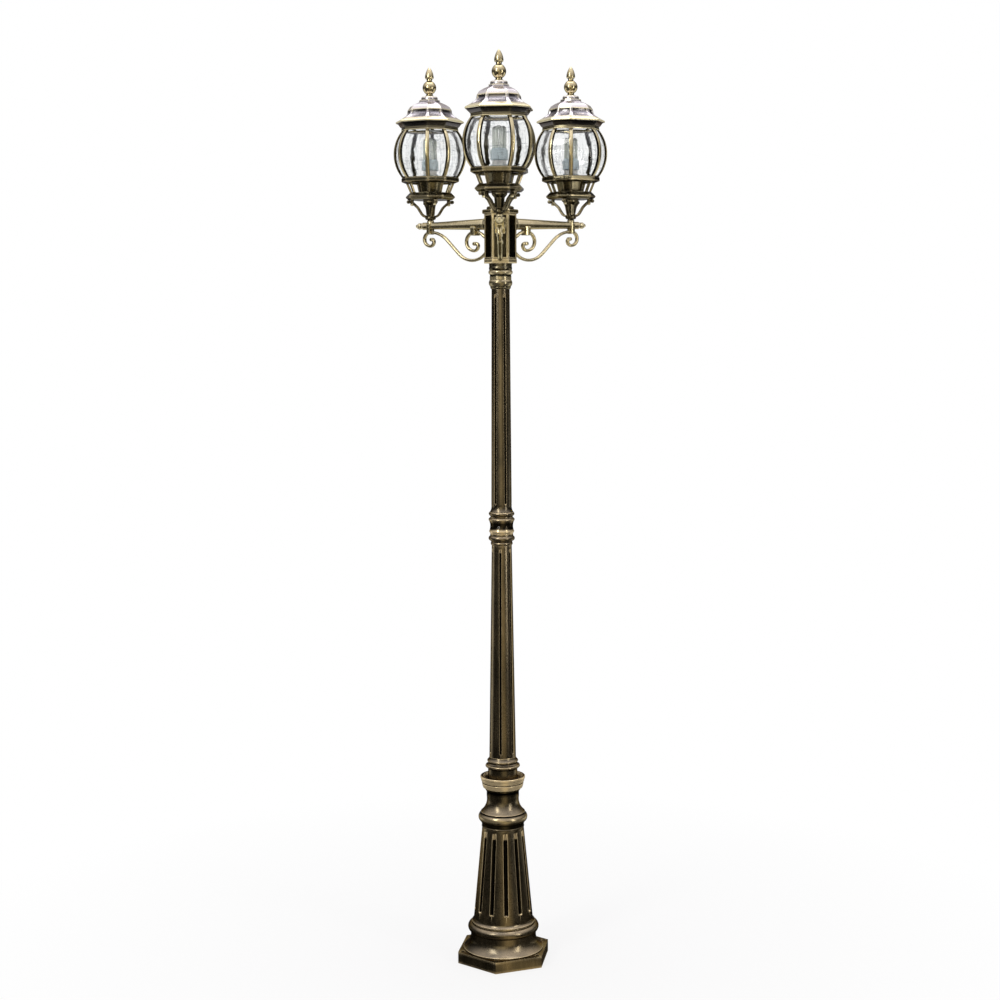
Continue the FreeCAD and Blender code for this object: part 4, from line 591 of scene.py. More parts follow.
class Net:
    """The nodes of one material or world, with calls that add a node and link it."""

    def __init__(self, tree):
        self.nodes = tree.nodes
        self.new = tree.nodes.new
        self.link = tree.links.new

    def feed(self, socket, value):
        """Writes a number or a colour on a socket, or links an output to it."""
        if isinstance(value, tuple):
            socket.default_value = (*value, 1.0)
        elif isinstance(value, float):
            socket.default_value = value
        else:
            self.link(value, socket)

    def found(self, kind):
        return [node for node in self.nodes if node.type == kind][0]

    def attribute(self, word):
        node = self.new("ShaderNodeAttribute")
        node.attribute_name = word
        return node.outputs["Fac"]

    def coords(self, word="Object"):
        return self.new("ShaderNodeTexCoord").outputs[word]

    def axes(self, vector):
        node = self.new("ShaderNodeSeparateXYZ")
        self.link(vector, node.inputs["Vector"])
        return node.outputs

    def noise(self, coords, scale, detail=4.0, stretch=(1.0, 1.0, 1.0), rough=0.55):
        mapping = self.new("ShaderNodeMapping")
        mapping.inputs["Scale"].default_value = stretch
        texture = self.new("ShaderNodeTexNoise")
        for word, value in (("Scale", scale), ("Detail", detail), ("Roughness", rough)):
            texture.inputs[word].default_value = value
        self.link(coords, mapping.inputs["Vector"])
        self.link(mapping.outputs["Vector"], texture.inputs["Vector"])
        return texture.outputs["Fac"]

    def remap(self, value, low, high, to_low=0.0, to_high=1.0):
        node = self.new("ShaderNodeMapRange")
        for word, limit in (("From Min", low), ("From Max", high), ("To Min", to_low),
                            ("To Max", to_high)):
            node.inputs[word].default_value = limit
        self.link(value, node.inputs["Value"])
        return node.outputs["Result"]

    def blend(self, factor, a, b, mode="MIX"):
        """Mixes two colours; sockets 0, 6 and 7 are a colour mix's factor, A and B."""
        node = self.new("ShaderNodeMix")
        node.data_type = "RGBA"
        node.blend_type = mode
        for socket, value in ((0, factor), (6, a), (7, b)):
            self.feed(node.inputs[socket], value)
        return node.outputs[2]

    def maths(self, kind, a, b=0.0, clamp=False):
        node = self.new("ShaderNodeMath")
        node.operation = kind
        node.use_clamp = clamp
        self.feed(node.inputs[0], a)
        self.feed(node.inputs[1], b)
        return node.outputs[0]

    def mixed(self, factor, a, b):
        """Mixes two shaders."""
        node = self.new("ShaderNodeMixShader")
        for socket, value in enumerate((factor, a, b)):
            self.link(value, node.inputs[socket])
        return node.outputs[0]

    def bump(self, shader, height, strength, distance):
        node = self.new("ShaderNodeBump")
        node.inputs["Strength"].default_value = strength
        node.inputs["Distance"].default_value = distance
        self.link(height, node.inputs["Height"])
        self.link(node.outputs["Normal"], shader.inputs["Normal"])


def shader_net(name):
    """A new material with its net and its shader, kept under its name."""
    material = bpy.data.materials.new(name)
    material.use_nodes = True
    MATERIALS[name] = material
    net = Net(material.node_tree)
    return net, net.found("BSDF_PRINCIPLED")


def bronze(name, dark, brown, gold, gilding, rough, streak=(1.0, 1.0, 0.05), edge=0.10):
    """Antique bronze: dark lacquer with brown clouds and drawn streaks, gold on the crests.

    Two attributes of the mesh say where it is worn through or gilded, where painted highlights
    lie, and where painted shade darkens its hollows and shaded parts."""
    net, shader = shader_net(name)
    finish = bpy.context.scene.lamp_finish
    coords = net.coords()
    clouds = net.noise(coords, finish.patina_scale, 3.0, (1.0, 1.0, 0.35))
    streaks = net.noise(coords, STREAK_SCALE, 3.0, streak, 0.5)
    fine = net.noise(coords, GRAIN_SCALE, 3.0)
    wear = net.attribute("rub_and_hollow_shade")
    tone = net.attribute("tone")
    crest = net.remap(wear, 0.02, 0.55)
    broken = net.remap(fine, 0.28, 0.60, 0.55, 1.0)
    crest = net.maths("MULTIPLY", crest, broken)
    crest = net.maths("MULTIPLY", crest, finish.wear, True)
    brushed = net.remap(streaks, 0.40, 0.70, 0.0, gilding)
    patches = net.remap(clouds, 0.36, 0.66, 0.25, 1.0)
    gilt_and_highlight = net.maths("ADD", crest, net.maths("MULTIPLY", brushed, patches), True)
    # positive tone adds gold: gilding, and on some bands painted highlights and painted
    # reflections
    gilt_and_highlight = net.maths("ADD", gilt_and_highlight, net.remap(tone, 0.0, 1.0), True)
    lacquer = net.blend(net.remap(clouds, 0.25, 0.75), dark, brown)
    colour = net.blend(gilt_and_highlight, lacquer, gold)
    # painted shade: points in hollows are darkened, down to a quarter of their colour
    hollow = net.remap(wear, -0.5, 0.0, 0.25, 1.0)
    # painted shade: points of negative tone are darkened, down to a twentieth of their colour
    tone_shade = net.remap(tone, -1.0, 0.0, 0.05, 1.0)
    shade = net.new("ShaderNodeCombineXYZ")
    level = net.maths("MULTIPLY", hollow, tone_shade)
    for socket in shade.inputs:
        net.link(level, socket)
    colour = net.blend(1.0, colour, shade.outputs[0], "MULTIPLY")
    net.link(colour, shader.inputs["Base Color"])
    net.link(net.remap(gilt_and_highlight, 0.0, 0.8, 1.0, 0.62), shader.inputs["Metallic"])
    shader.inputs["Specular Tint"].default_value = (edge, edge * 0.9, edge * 0.8, 1.0)
    roughness = net.maths("ADD", net.remap(fine, 0.3, 0.7, -0.05, 0.07),
                          net.remap(gilt_and_highlight, 0.0, 1.0, rough, rough * 0.8))
    net.link(roughness, shader.inputs["Roughness"])
    net.bump(shader, fine, 0.10, GRAIN_HEIGHT)


def plain(name, colour, rough, metal=0.0, scale=120.0, spread=0.08, coat=0.0):
    """One colour with slight clouds in it, for plastic, steel and the floor."""
    net, shader = shader_net(name)
    coords = net.coords()
    clouds = net.noise(coords, scale, 4.0)
    low = tuple(channel * (1.0 - spread) for channel in colour)
    high = tuple(min(1.0, channel * (1.0 + spread)) for channel in colour)
    net.link(net.blend(clouds, low, high), shader.inputs["Base Color"])
    net.link(net.remap(clouds, 0.3, 0.7, rough * 0.85, rough * 1.15),
             shader.inputs["Roughness"])
    shader.inputs["Metallic"].default_value = metal
    shader.inputs["Coat Weight"].default_value = coat
    net.bump(shader, net.noise(coords, scale * 4.0, 2.0), 0.15, GRAIN_HEIGHT)


def clear_glass(name):
    """Clear drawn glass with fine upright streaks and a few cloudy wipes."""
    net, shader = shader_net(name)
    coords = net.coords()
    drawn = net.noise(coords, 150.0, 3.0, (1.0, 1.0, 0.08))
    bars = net.noise(coords, 110.0, 3.0, (0.30, 0.30, 2.4), 0.7)
    wipes = net.noise(coords, 34.0, 3.0, (1.0, 1.0, 0.8))
    upright = net.remap(drawn, 0.52, 0.66)
    across = net.remap(bars, 0.56, 0.64)
    marks = net.maths("MAXIMUM", upright, across)
    marks = net.maths("MULTIPLY", marks, net.remap(wipes, 0.40, 0.62, 0.1, 1.0))
    net.link(net.blend(marks, (0.985, 0.99, 0.985), (0.60, 0.62, 0.64)),
             shader.inputs["Base Color"])
    shader.inputs["Transmission Weight"].default_value = 1.0
    shader.inputs["IOR"].default_value = 1.45
    net.link(net.remap(marks, 0.0, 1.0, 0.01, 0.12), shader.inputs["Roughness"])
    net.bump(shader, drawn, 0.20, GLASS_WAVE)


class LAMP_OT_materials(bpy.types.Operator):
    """Makes the bronze, glass, bulb and steel materials"""
    bl_idname = "lamp.materials"
    bl_label = "Materials"

    def execute(self, context):
        # name, dark, brown, gold, gilding, roughness, streak, edge
        bronze("post_bronze", (0.085, 0.078, 0.062), (0.33, 0.265, 0.165), (0.90, 0.72, 0.42),
               0.16, 0.25)
        bronze("lantern_bronze", (0.085, 0.080, 0.058), (0.31, 0.27, 0.165),
               (0.90, 0.76, 0.46), 0.14, 0.25)
        bronze("gilt_bronze", (0.40, 0.35, 0.20), (0.68, 0.57, 0.33), (0.95, 0.85, 0.55),
               0.40, 0.20, (1.0, 1.0, 0.25), 0.05)
        # painted reflection: pale lavender colours that paint the bright sky mirrored on the roofs
        # and the bracket screw buttons
        bronze("roof_bronze", (0.66, 0.63, 0.66), (0.80, 0.77, 0.80), (0.93, 0.84, 0.50),
               0.05, 0.24, (1.0, 1.0, 0.5), 0.35)
        # name, colour, roughness, metal, scale, spread, coat
        plain("zinc_steel", (0.52, 0.53, 0.54), 0.38, 0.9)
        plain("lamp_white", (0.68, 0.80, 0.86), 0.30, 0.0, 60.0, 0.03, 0.4)
        plain("opal_tube", (0.80, 0.86, 0.82), 0.22, 0.0, 50.0, 0.03, 0.5)
        plain("holder_white", (0.90, 0.90, 0.88), 0.42, 0.0, 80.0, 0.03)
        clear_glass("clear_glass")
        return {"FINISHED"}


# ---------------------------------------------------------------- post
# sizes in millimetres and turns in degrees, as the construction has them
PLATE_CORNER = 126.0
PLATE_THICK = 30.0
PLATE_TURN = -98.7
BOLT_CIRCLE = 113.0
BOLT_HOLE = 4.5
PEDESTAL_FLUTE = {"count": 12, "wide": 12.0, "deep": 4.2, "blunt": 22.0, "spare": 4}
POST_FLUTE = {"count": 6, "wide": 6.5, "deep": 1.9, "blunt": 12.0, "spare": 7}
HUB_CORNER = 40.5
PANEL_EDGE = 1.2
SCROLL_WIDE = 11.0
SCROLL_THICK = 7.0


class LAMP_OT_foot(bpy.types.Operator):
    """Builds the hexagonal foot casting"""
    bl_idname = "lamp.foot"
    bl_label = "Foot"

    def execute(self, context):
        turns = [math.radians(60 * k + PLATE_TURN) for k in range(6)]
        ring = [(PLATE_CORNER * math.cos(turn), PLATE_CORNER * math.sin(turn)) for turn in turns]
        verts = [(x, y, level) for level in (0.0, PLATE_THICK) for x, y in ring]
        faces = [(0, 5, 4, 3, 2, 1), (6, 7, 8, 9, 10, 11)]
        for k in range(6):
            n = (k + 1) % 6
            faces.append((k, n, n + 6, k + 6))
        plate = mesh_from("plate", verts, faces)
        hollow = lathe_mesh("hollow", [(0.0, -2.0), (92.0, -2.0), (92.0, 20.0), (74.0, 41.0),
                                       (74.0, 82.0), (0.0, 82.0)], 0.0)
        bell = lathe_mesh("bell", [
            (0.0, 20.0), (104.0, 20.0), (104.0, 33.0), (100.0, 34.8), (85.0, 61.5, -0.22),
            (85.0, 75.0), (84.0, 97.0, 0.7), (81.0, 97.0), (81.0, 99.0), (60.0, 99.0),
            (60.0, 105.0), (0.0, 105.0)], 0.8, 128, 12)
        hole = lathe_mesh("hole", [(0.0, -2.0), (BOLT_HOLE, -2.0), (BOLT_HOLE, 40.0),
                                   (0.0, 40.0)], 0.0, 24)
        pipe = lathe_mesh("pipe", [(0.0, 60.0), (8.1, 60.0), (8.1, 120.0), (0.0, 120.0)], 0.0, 32)
        cutters = [hollow, pipe]
        for turn in turns:
            cutters.append(moved(hole, Matrix.Translation(
                (BOLT_CIRCLE * MM * math.cos(turn), BOLT_CIRCLE * MM * math.sin(turn), 0.0))))
        body = cut_with(plate, bell, "UNION")
        for cutter in cutters:
            body = cut_with(body, cutter, "DIFFERENCE")
        body = refined(bevelled(body, 0.0011, 3, 40.0), 0.012)
        piece("foot", body, "post_bronze", "post", ["foot_casting"])
        return {"FINISHED"}


class LAMP_OT_pedestal(bpy.types.Operator):
    """Builds the fluted pedestal column and its cup"""
    bl_idname = "lamp.pedestal"
    bl_label = "Pedestal"

    def execute(self, context):
        flare = sample([(82.0, 99.0), (82.0, 102.5), (76.6, 113.0, -0.35)], 8)
        mesh = fluted_mesh("column", (76.6, 113.0), (54.0, 352.0), 44.1, 132.0, 347.0,
                           6.5 - 90.0, flare[:-1], **PEDESTAL_FLUTE)
        piece("pedestal_fluted", mesh, "post_bronze", "post", ["pedestal_column"])
        cup = lathe_mesh("cup", [
            (8.1, 459.0), (8.1, 447.0), (34.0, 447.0), (34.0, 346.0), (44.0, 346.0), (44.0, 352.0),
            (54.0, 352.0), (54.0, 357.0, 0.5), (56.5, 367.0), (58.0, 390.0, 0.55), (56.0, 390.0),
            (56.0, 393.0), (57.5, 393.0), (42.0, 434.0, -0.28), (42.0, 447.0),
            (46.7, 455.0, 0.15), (51.0, 457.0), (53.9, 468.6, 0.08), (53.0, 469.4),
            (53.4, 471.2), (54.6, 472.0), (56.6, 481.0, 0.08), (57.8, 482.0), (57.8, 486.5),
            (56.8, 487.5), (50.0, 487.5), (46.1, 480.5), (46.1, 459.0)], 0.6, 112, 9, (
                # bands: painted shade in the grooves, under the cup and under the torus; gilded
                # cup band and rim; torus crest gilded and lit as painted highlight
                (52.0, 469.2, 471.6, -1.0), (46.9, 451.0, 486.6, 0.75),
                (41.0, 445.0, 450.9, -1.0), (57.0, 486.6, 488.0, 0.3),
                (54.0, 389.0, 393.0, -1.0), (50.0, 351.0, 367.5, -0.7),
                (60.0, 376.0, 387.0, 0.35)))
        piece("pedestal_cup_turned", cup, "post_bronze", "post", ["pedestal_cup"])
        return {"FINISHED"}


class LAMP_OT_shaft(bpy.types.Operator):
    """Builds the collars, coupling and fluted posts"""
    bl_idname = "lamp.shaft"
    bl_label = "Shaft"

    def execute(self, context):
        rows = {
            "lower_collar": [
                (24.0, 459.0), (46.0, 459.0), (46.0, 476.5), (43.0, 479.5, 0.4), (38.0, 479.5),
                (38.0, 507.0), (43.3, 511.0), (43.3, 517.0, 0.45), (36.5, 521.5, -0.2),
                (38.8, 525.0), (38.8, 530.0, 0.5), (34.4, 538.0, -0.2), (26.0, 538.0),
                (26.0, 560.0), (18.0, 560.0), (18.0, 507.0), (24.0, 507.0)],
            "lower_post_cap": [
                (14.0, 1068.0), (21.4, 1068.0), (21.4, 1089.0), (25.7, 1089.0),
                (26.8, 1097.0, 0.45), (30.6, 1101.5, -0.3), (30.6, 1112.5, 0.55),
                (29.4, 1113.5), (29.4, 1118.5), (22.0, 1118.5), (22.0, 1144.5), (14.0, 1144.5)],
            "post_coupling": [
                (22.1, 1118.5), (29.4, 1118.5), (29.4, 1120.5), (31.4, 1122.5, 0.2),
                (31.4, 1127.0, 0.3), (29.2, 1141.0, -0.12), (32.7, 1153.0, -0.12),
                (32.7, 1157.0, 0.3), (28.6, 1161.0, 0.1), (22.1, 1161.0)],
            "top_collar": [
                (9.0, 1718.0), (13.9, 1718.0), (13.9, 1738.0), (22.9, 1738.0), (25.7, 1744.0, 0.4),
                (27.2, 1746.0), (27.2, 1761.0, 0.33), (27.4, 1762.5), (27.4, 1770.0),
                (26.4, 1773.0), (28.1, 1775.0), (28.1, 1785.0, 0.52), (28.4, 1786.0),
                (28.4, 1794.0, 0.2), (28.9, 1802.0), (20.0, 1802.0), (20.0, 1814.0),
                (9.0, 1814.0)],
            "hub_knob": [
                (0.0, 1948.0), (4.0, 1948.0), (4.0, 1958.0), (8.0, 1958.0), (6.0, 1960.5),
                (6.0, 1961.5), (12.5, 1972.0, 0.3), (2.0, 1983.5, 0.36), (0.0, 1983.5)]}
        # bands: gilding and painted highlight on the beads, a painted sky reflection on the
        # collar's lower bead, painted shade in the grooves, the waist and under the flares
        bands = {
            "post_coupling": ((28.0, 1118.6, 1129.0, 0.6), (28.0, 1131.0, 1147.0, -0.85),
                              (28.0, 1150.0, 1158.0, 0.15)),
            "top_collar": ((22.0, 1738.0, 1743.5, -0.3), (22.0, 1746.0, 1757.0, 0.25),
                           (22.0, 1759.0, 1769.0, 0.5), (22.0, 1769.5, 1774.5, -0.8),
                           (22.0, 1775.0, 1784.0, 0.5), (22.0, 1784.5, 1787.0, -0.7))}
        for node, outline in rows.items():
            material = "lantern_bronze" if node in ("top_collar", "hub_knob") else "post_bronze"
            piece(node + "_turned", lathe_mesh(node, outline, 0.5, bands=bands.get(node, ())),
                  material, "post", [node])
        low = fluted_mesh("low", (34.4, 538.0), (25.7, 1089.0), 21.5, 548.0, 1081.0, -98.0,
                          **POST_FLUTE)
        piece("lower_post_fluted", low, "post_bronze", "post", ["lower_post"])
        flare = sample([(28.6, 1161.0), (28.6, 1163.5), (30.7, 1165.5), (30.7, 1174.0, 0.5),
                        (30.2, 1174.0), (26.0, 1192.0, -0.18)], 8)
        up = fluted_mesh("up", (26.0, 1192.0), (22.9, 1738.0), 14.0, 1195.0, 1727.0,
                         24.0 - 90.0, flare[:-1], **POST_FLUTE)
        spigot = lathe_mesh("spigot", [(14.0, 1147.0), (22.0, 1147.0), (22.0, 1161.0),
                                       (14.0, 1161.0)], 0.4)
        piece("upper_post_fluted", joined("up", [up, spigot]), "post_bronze", "post",
              ["upper_post"])
        for node, width in (("set_screws", 0.0003), ("tie_rod", 0.0004), ("tie_nuts", 0.0004),
                            ("arm_nuts", 0.0004)):
            cast(node + "_plain", node, width, 40.0, "zinc_steel")
        return {"FINISHED"}


def hub_shade_and_gilt(mesh):
    """Painted shade: black in the hub's sunk panels; gilded on the ribs and bands that stand over
    them.
    """
    flats = []
    for start in (0.0, 30.0):
        turns = [math.radians(start + 60.0 * k) for k in range(6)]
        flats.append([max(vert.co.x * math.cos(turn) + vert.co.y * math.sin(turn)
                          for turn in turns) for vert in mesh.vertices])
    across = min(flats, key=max)
    face = max(across) - PANEL_EDGE * MM
    return [-0.75 if flat < face else 0.35 for flat in across]


class LAMP_OT_hub(bpy.types.Operator):
    """Builds the hexagonal hub, its cap, arms, collars and clips"""
    bl_idname = "lamp.hub"
    bl_label = "Hub and arms"

    def execute(self, context):
        body = cad_mesh("hub_body", 0.0009)
        toned(body, hub_shade_and_gilt(body))
        piece("hub_cast", body, "lantern_bronze", "post", ["hub_body"])
        cast("hub_lid", "hub_cap", 0.0008, 24.0, "lantern_bronze")
        for word, _, _ in ARMS:
            cast("arm_bar_" + word, "arm_" + word, 0.0009, 20.0, "gilt_bronze")
            cast("arm_collar_" + word, "arm_ferrule_" + word, context.scene.lamp_shape.edge_round,
                 24.0, "lantern_bronze")
        cast("clips", "scroll_clips", 0.0007, 30.0, "gilt_bronze")
        return {"FINISHED"}


class LAMP_OT_scrolls(bpy.types.Operator):
    """Builds the outer S-scrolls and inner C-scrolls"""
    bl_idname = "lamp.scrolls"
    bl_label = "Scrolls"

    def execute(self, context):
        face = HUB_CORNER * math.cos(math.radians(30.0)) - 2.0
        section = rounded_bar(SCROLL_WIDE, SCROLL_THICK)
        outer = arc_path(math.pi, [
            (5.4, 90.0), (11.0, 90.0), (17.6, 90.0), (17.6, 90.0), (72.0, 45.0), ("line", 52.0),
            (54.0, -45.0), (54.0, -62.0)], 4, (208.5, 1884.5))
        outer = [point for point in outer if point.x > face + 3.0]
        tail = (outer[-1] - outer[-2]).normalized()
        outer.append(outer[-1] + tail * ((outer[-1].x - face - 1.0) / -tail.x))
        back = math.radians(45.0)
        neck = 74.5 - 35.0 * math.sin(back)
        inner = arc_path(math.pi - math.radians(390.0), [
            (6.2, 120.0), (12.0, 90.0), (22.5, 90.0), (25.0, 90.0), (35.0, 45.0),
            ((neck - face) / math.sin(back), -45.0)], 4, (74.5, 1882.5))
        eye = lathe_mesh("eye", [(0.0, -7.5), (3.4, -7.5), (4.6, -6.4), (4.8, -5.0), (4.8, 5.0),
                                 (4.6, 6.4), (3.4, 7.5), (0.0, 7.5)], 0.4, 32)
        side = Matrix.Rotation(math.radians(90.0), 4, "Y")
        for word, path in (("outer_scroll_", outer), ("inner_scroll_", inner)):
            bar = sweep_mesh(word, path, section)
            spot = Matrix.Translation((0.0, -path[0].x * MM, path[0].y * MM))
            whole = joined(word, [bar, moved(eye, spot @ side)])
            for arm, turn, _ in ARMS:
                piece(word + "bar_" + arm, moved(whole, arm_matrix(turn)), "gilt_bronze", "post",
                      [word + arm], 40.0)
        return {"FINISHED"}


# ---------------------------------------------------------------- lanterns
# heights over the ground and sizes in millimetres, as the construction has them
CORNER_TURN = 27.0
BELLY_CORNER = 90.0
BELLY_LEVEL = 2081.25
BELLY_HALF = 58.25
BELLY_RISE = 20.5
PANE_LOW = 2023.2
PANE_HIGH = 2139.3
PANE_THICK = 3.0
PANE_GAP = 2.6
RIB_LOW = 2023.0
RIB_HIGH = 2139.5
RIB_ROWS = 26
EAVE = 2148.0
TUBE_RADIUS = 4.7
TUBE_HALF = 5.6
TUBE_BEND = 2110.7
TUBE_OUT = 11.2


def corners():
    """Bearings of a lantern's eight corners, in radians."""
    return [math.radians(90.0 * quarter - 90.0 + side) for quarter in range(4)
            for side in (-CORNER_TURN, CORNER_TURN)]


def belly(level, inset):
    """Corner radius of the bent panes at a level, in mm."""
    bend = (BELLY_HALF ** 2 + BELLY_RISE ** 2) / (2.0 * BELLY_RISE)
    return BELLY_CORNER - bend + math.sqrt(bend ** 2 - (level - BELLY_LEVEL) ** 2) - inset


def lanterns(context):
    """The name of each arm and the place of the lantern on it."""
    reach = context.scene.lamp_shape.reach
    return [(word, arm_matrix(turn, reach, spin)) for word, turn, spin in ARMS]


class LAMP_OT_stands(bpy.types.Operator):
    """Builds the lantern stands with their scrolled brackets"""
    bl_idname = "lamp.stands"
    bl_label = "Lantern stands"

    def execute(self, context):
        for word, _, _ in ARMS:
            cast("stand_cast_" + word, "stand_" + word, 0.0005, 30.0, "lantern_bronze",
                 -0.4)
        cast("bracket_buttons", "bracket_screws", 0.0004, 40.0, "roof_bronze")
        return {"FINISHED"}


class LAMP_OT_galleries(bpy.types.Operator):
    """Builds the galleries and lampholder cups"""
    bl_idname = "lamp.galleries"
    bl_label = "Galleries"

    def execute(self, context):
        for word, _, _ in ARMS:
            cast("gallery_cast_" + word, "gallery_" + word, 0.0007, 24.0, "lantern_bronze",
                 -0.35)
            cast("cup_cast_" + word, "lamp_cup_" + word, 0.0005, 24.0, "lantern_bronze")
            cast("bridge_bar_" + word, "bridge_" + word, 0.0004, 40.0, "zinc_steel")
        return {"FINISHED"}


def pane_mesh(first, last, ripple, phase):
    """One bent pane between two corners, with waves in both faces."""
    across = 14
    along = 26
    verts = []
    for inset in (0.0, PANE_THICK):
        for row in range(along + 1):
            level = PANE_LOW + (PANE_HIGH - PANE_LOW) * row / along
            corner = belly(level, inset)
            a = Vector((corner * math.cos(first), corner * math.sin(first)))
            b = Vector((corner * math.cos(last), corner * math.sin(last)))
            line = b - a
            gap = PANE_GAP / line.length
            out = (a + b).normalized()
            for column in range(across + 1):
                part = gap + (1.0 - 2.0 * gap) * column / across
                spot = a + line * part
                edge = math.sin(math.pi * column / across) * math.sin(math.pi * row / along)
                wave = math.sin(column * 0.9 + phase) * math.sin(row * 0.55 + phase * 1.7 + inset)
                wave += 0.6 * math.sin(row * 1.3 + column * 0.35 + phase * 2.3)
                spot = spot - out * abs(wave) * ripple * edge
                verts.append((spot.x, spot.y, level))
    faces = []
    wide = across + 1
    layer = wide * (along + 1)
    for row in range(along):
        for column in range(across):
            a = row * wide + column
            faces.append((a, a + 1, a + wide + 1, a + wide))
            faces.append((layer + a, layer + a + wide, layer + a + wide + 1, layer + a + 1))
    for row in range(along):
        for column, flip in ((0, False), (across, True)):
            a = row * wide + column
            quad = (a, a + wide, layer + a + wide, layer + a)
            faces.append(tuple(reversed(quad)) if flip else quad)
    for column in range(across):
        for row, flip in ((0, True), (along, False)):
            a = row * wide + column
            quad = (a, a + 1, layer + a + 1, layer + a)
            faces.append(quad if flip else tuple(reversed(quad)))
    return mesh_from("pane", verts, faces)


def rib_mesh():
    """One curved rib with a rounded gilded front and painted shade on its dark sides, across the
    +X corner.
    """
    # rows are (side, out, tone); the low tones paint shade on the rib's sides
    section = [(-4.8, 0.0, -1.0), (-4.8, -5.6, -1.0), (4.8, -5.6, -1.0), (4.8, 0.0, -1.0),
               (4.6, 1.2, -0.9), (4.0, 2.2, -0.1), (2.2, 2.9, 0.25), (-2.2, 2.9, 0.25),
               (-4.0, 2.2, -0.1), (-4.6, 1.2, -0.9)]
    verts = []
    side_shade = []
    for row in range(RIB_ROWS + 1):
        level = RIB_LOW + (RIB_HIGH - RIB_LOW) * row / RIB_ROWS
        corner = belly(level, 0.0)
        for side, out, dark in section:
            verts.append((corner + out, side, level))
            side_shade.append(dark)
    count = len(section)
    faces = ring_faces(RIB_ROWS + 1, count)
    faces.append(tuple(reversed(range(count))))
    faces.append(tuple(range(RIB_ROWS * count, (RIB_ROWS + 1) * count)))
    return toned(mesh_from("rib", verts, faces), side_shade)


class LAMP_OT_cages(bpy.types.Operator):
    """Builds the curved glass panes and the ribbed cages round them"""
    bl_idname = "lamp.cages"
    bl_label = "Glass and cages"

    def execute(self, context):
        ripple = context.scene.lamp_shape.glass_ripple / MM
        angles = corners()
        spots = [(0.0, 0.0, 0.0, math.degrees(angle)) for angle in angles]
        rib = joined("rib", [rib_mesh()])
        for arm, (word, base) in enumerate(lanterns(context)):
            panes = []
            for index in range(8):
                last = angles[(index + 1) % 8]
                if last < angles[index]:
                    last += math.tau
                panes.append(pane_mesh(angles[index], last, ripple, index * 1.9 + arm * 2.7))
            piece("panes_" + word, moved(joined("panes", panes), base), "clear_glass", "post",
                  ["glass_" + word], 60.0)
            ribs = repeated(rib, spots, "gilt_bronze")
            piece("cage_ribs_" + word, moved(joined("cage", [ribs, cage_ring()]), base),
                  "gilt_bronze", "post", ["cage_" + word])
        return {"FINISHED"}


def eight_loft(levels, parts=(0.0, 1.0)):
    """Closed band through eight-sided sections of (corner, level, sink, tone), in order.

    parts are the places along each side; the middle ones go in by sink, as a sunk panel."""
    verts = []
    tones = []
    angles = corners()
    spots = []
    for index, angle in enumerate(angles):
        last = angles[(index + 1) % 8]
        for part in parts[:-1]:
            spots.append((angle, last, part, 0.14 < part < 0.86))
    for row in levels:
        corner, level, sink, tone = (*row, 0.0, 0.0)[:4]
        for first, last, part, middle in spots:
            a = Vector((math.cos(first), math.sin(first))) * corner
            b = Vector((math.cos(last), math.sin(last))) * corner
            spot = a + (b - a) * part
            if middle:
                spot = spot - (a + b).normalized() * sink
            verts.append((spot.x, spot.y, level))
            tones.append(tone)
    faces = ring_faces(len(levels), len(spots), True)
    return toned(mesh_from("loft", verts, faces), tones)


def cage_ring():
    """Ring at the top of the cage: gilded foot, and above it a frieze darkened as painted shade
    under the roof's brim.
    """
    ring = eight_loft([
        (62.0, 2139.5), (72.0, 2139.5, 0.0, 0.6), (73.4, 2140.3, 0.0, 0.8),
        (73.4, 2141.6, 0.0, 0.8), (72.6, 2142.2, 0.0, -0.7), (72.6, 2147.0, 0.0, -0.8),
        (72.2, EAVE, 0.0, -1.0), (62.0, EAVE)])
    return bevelled(joined("ring", [ring]), 0.0004, 2, 30.0)


def roof_mesh():
    """Eight-sided roof: flared brim, panelled shoulder and stepped crown, hollow inside."""
    # tones: painted shade under the brim, in the sunk panels and inside the roof; gilded brim edge
    # and crown step
    outside = [
        (74.5, EAVE, 0.0, -0.8), (79.6, 2155.0, 0.0, -0.9), (81.0, 2157.0, 0.0, -1.0),
        (86.0, 2158.3, 0.0, -0.9), (87.2, 2159.4, 0.0, 0.3), (87.4, 2160.8, 0.0, 0.9),
        (86.6, 2162.6, 0.0, 0.9), (84.9, 2163.9, 0.0, 0.8), (79.0, 2167.0, 0.0, 0.7),
        (74.0, 2169.8, 0.0, 0.5), (71.0, 2171.4, 0.0, 0.1), (69.2, 2172.6, 1.6, -0.10),
        (62.0, 2177.4, 2.8, -0.15), (58.6, 2180.8, 3.0, -0.20), (57.4, 2184.0, 3.0, -0.25),
        (56.7, 2189.4, 2.8, -0.50), (56.3, 2191.2, 0.0, 0.4), (55.4, 2193.0, 0.0, 0.3),
        (50.5, 2200.0), (44.5, 2203.6), (38.0, 2207.0), (26.4, 2212.0),
        (26.4, 2217.0)]
    inside = [(22.0, 2213.5), (22.0, 2209.0), (36.5, 2203.2), (48.0, 2196.0), (51.0, 2190.0),
              (51.4, 2182.0), (57.0, 2175.6), (66.5, 2169.0), (80.0, 2161.0), (79.0, 2159.5),
              (71.5, 2150.0), (71.5, EAVE)]
    inside = [(corner, level, 0.0, -0.6) for corner, level in inside]
    shell = eight_loft(outside + inside, (0.0, 0.10, 0.15, 0.85, 0.90, 1.0))
    crown = lathe_mesh("crown", [
        (5.2, 2212.6), (22.4, 2212.6), (22.4, 2216.9), (21.0, 2217.6), (21.0, 2222.4),
        (20.2, 2223.5), (19.5, 2225.0), (5.2, 2225.0)], 0.5, 64)
    return joined("roof", [bevelled(joined("shell", [shell]), 0.0006, 2, 22.0), crown])


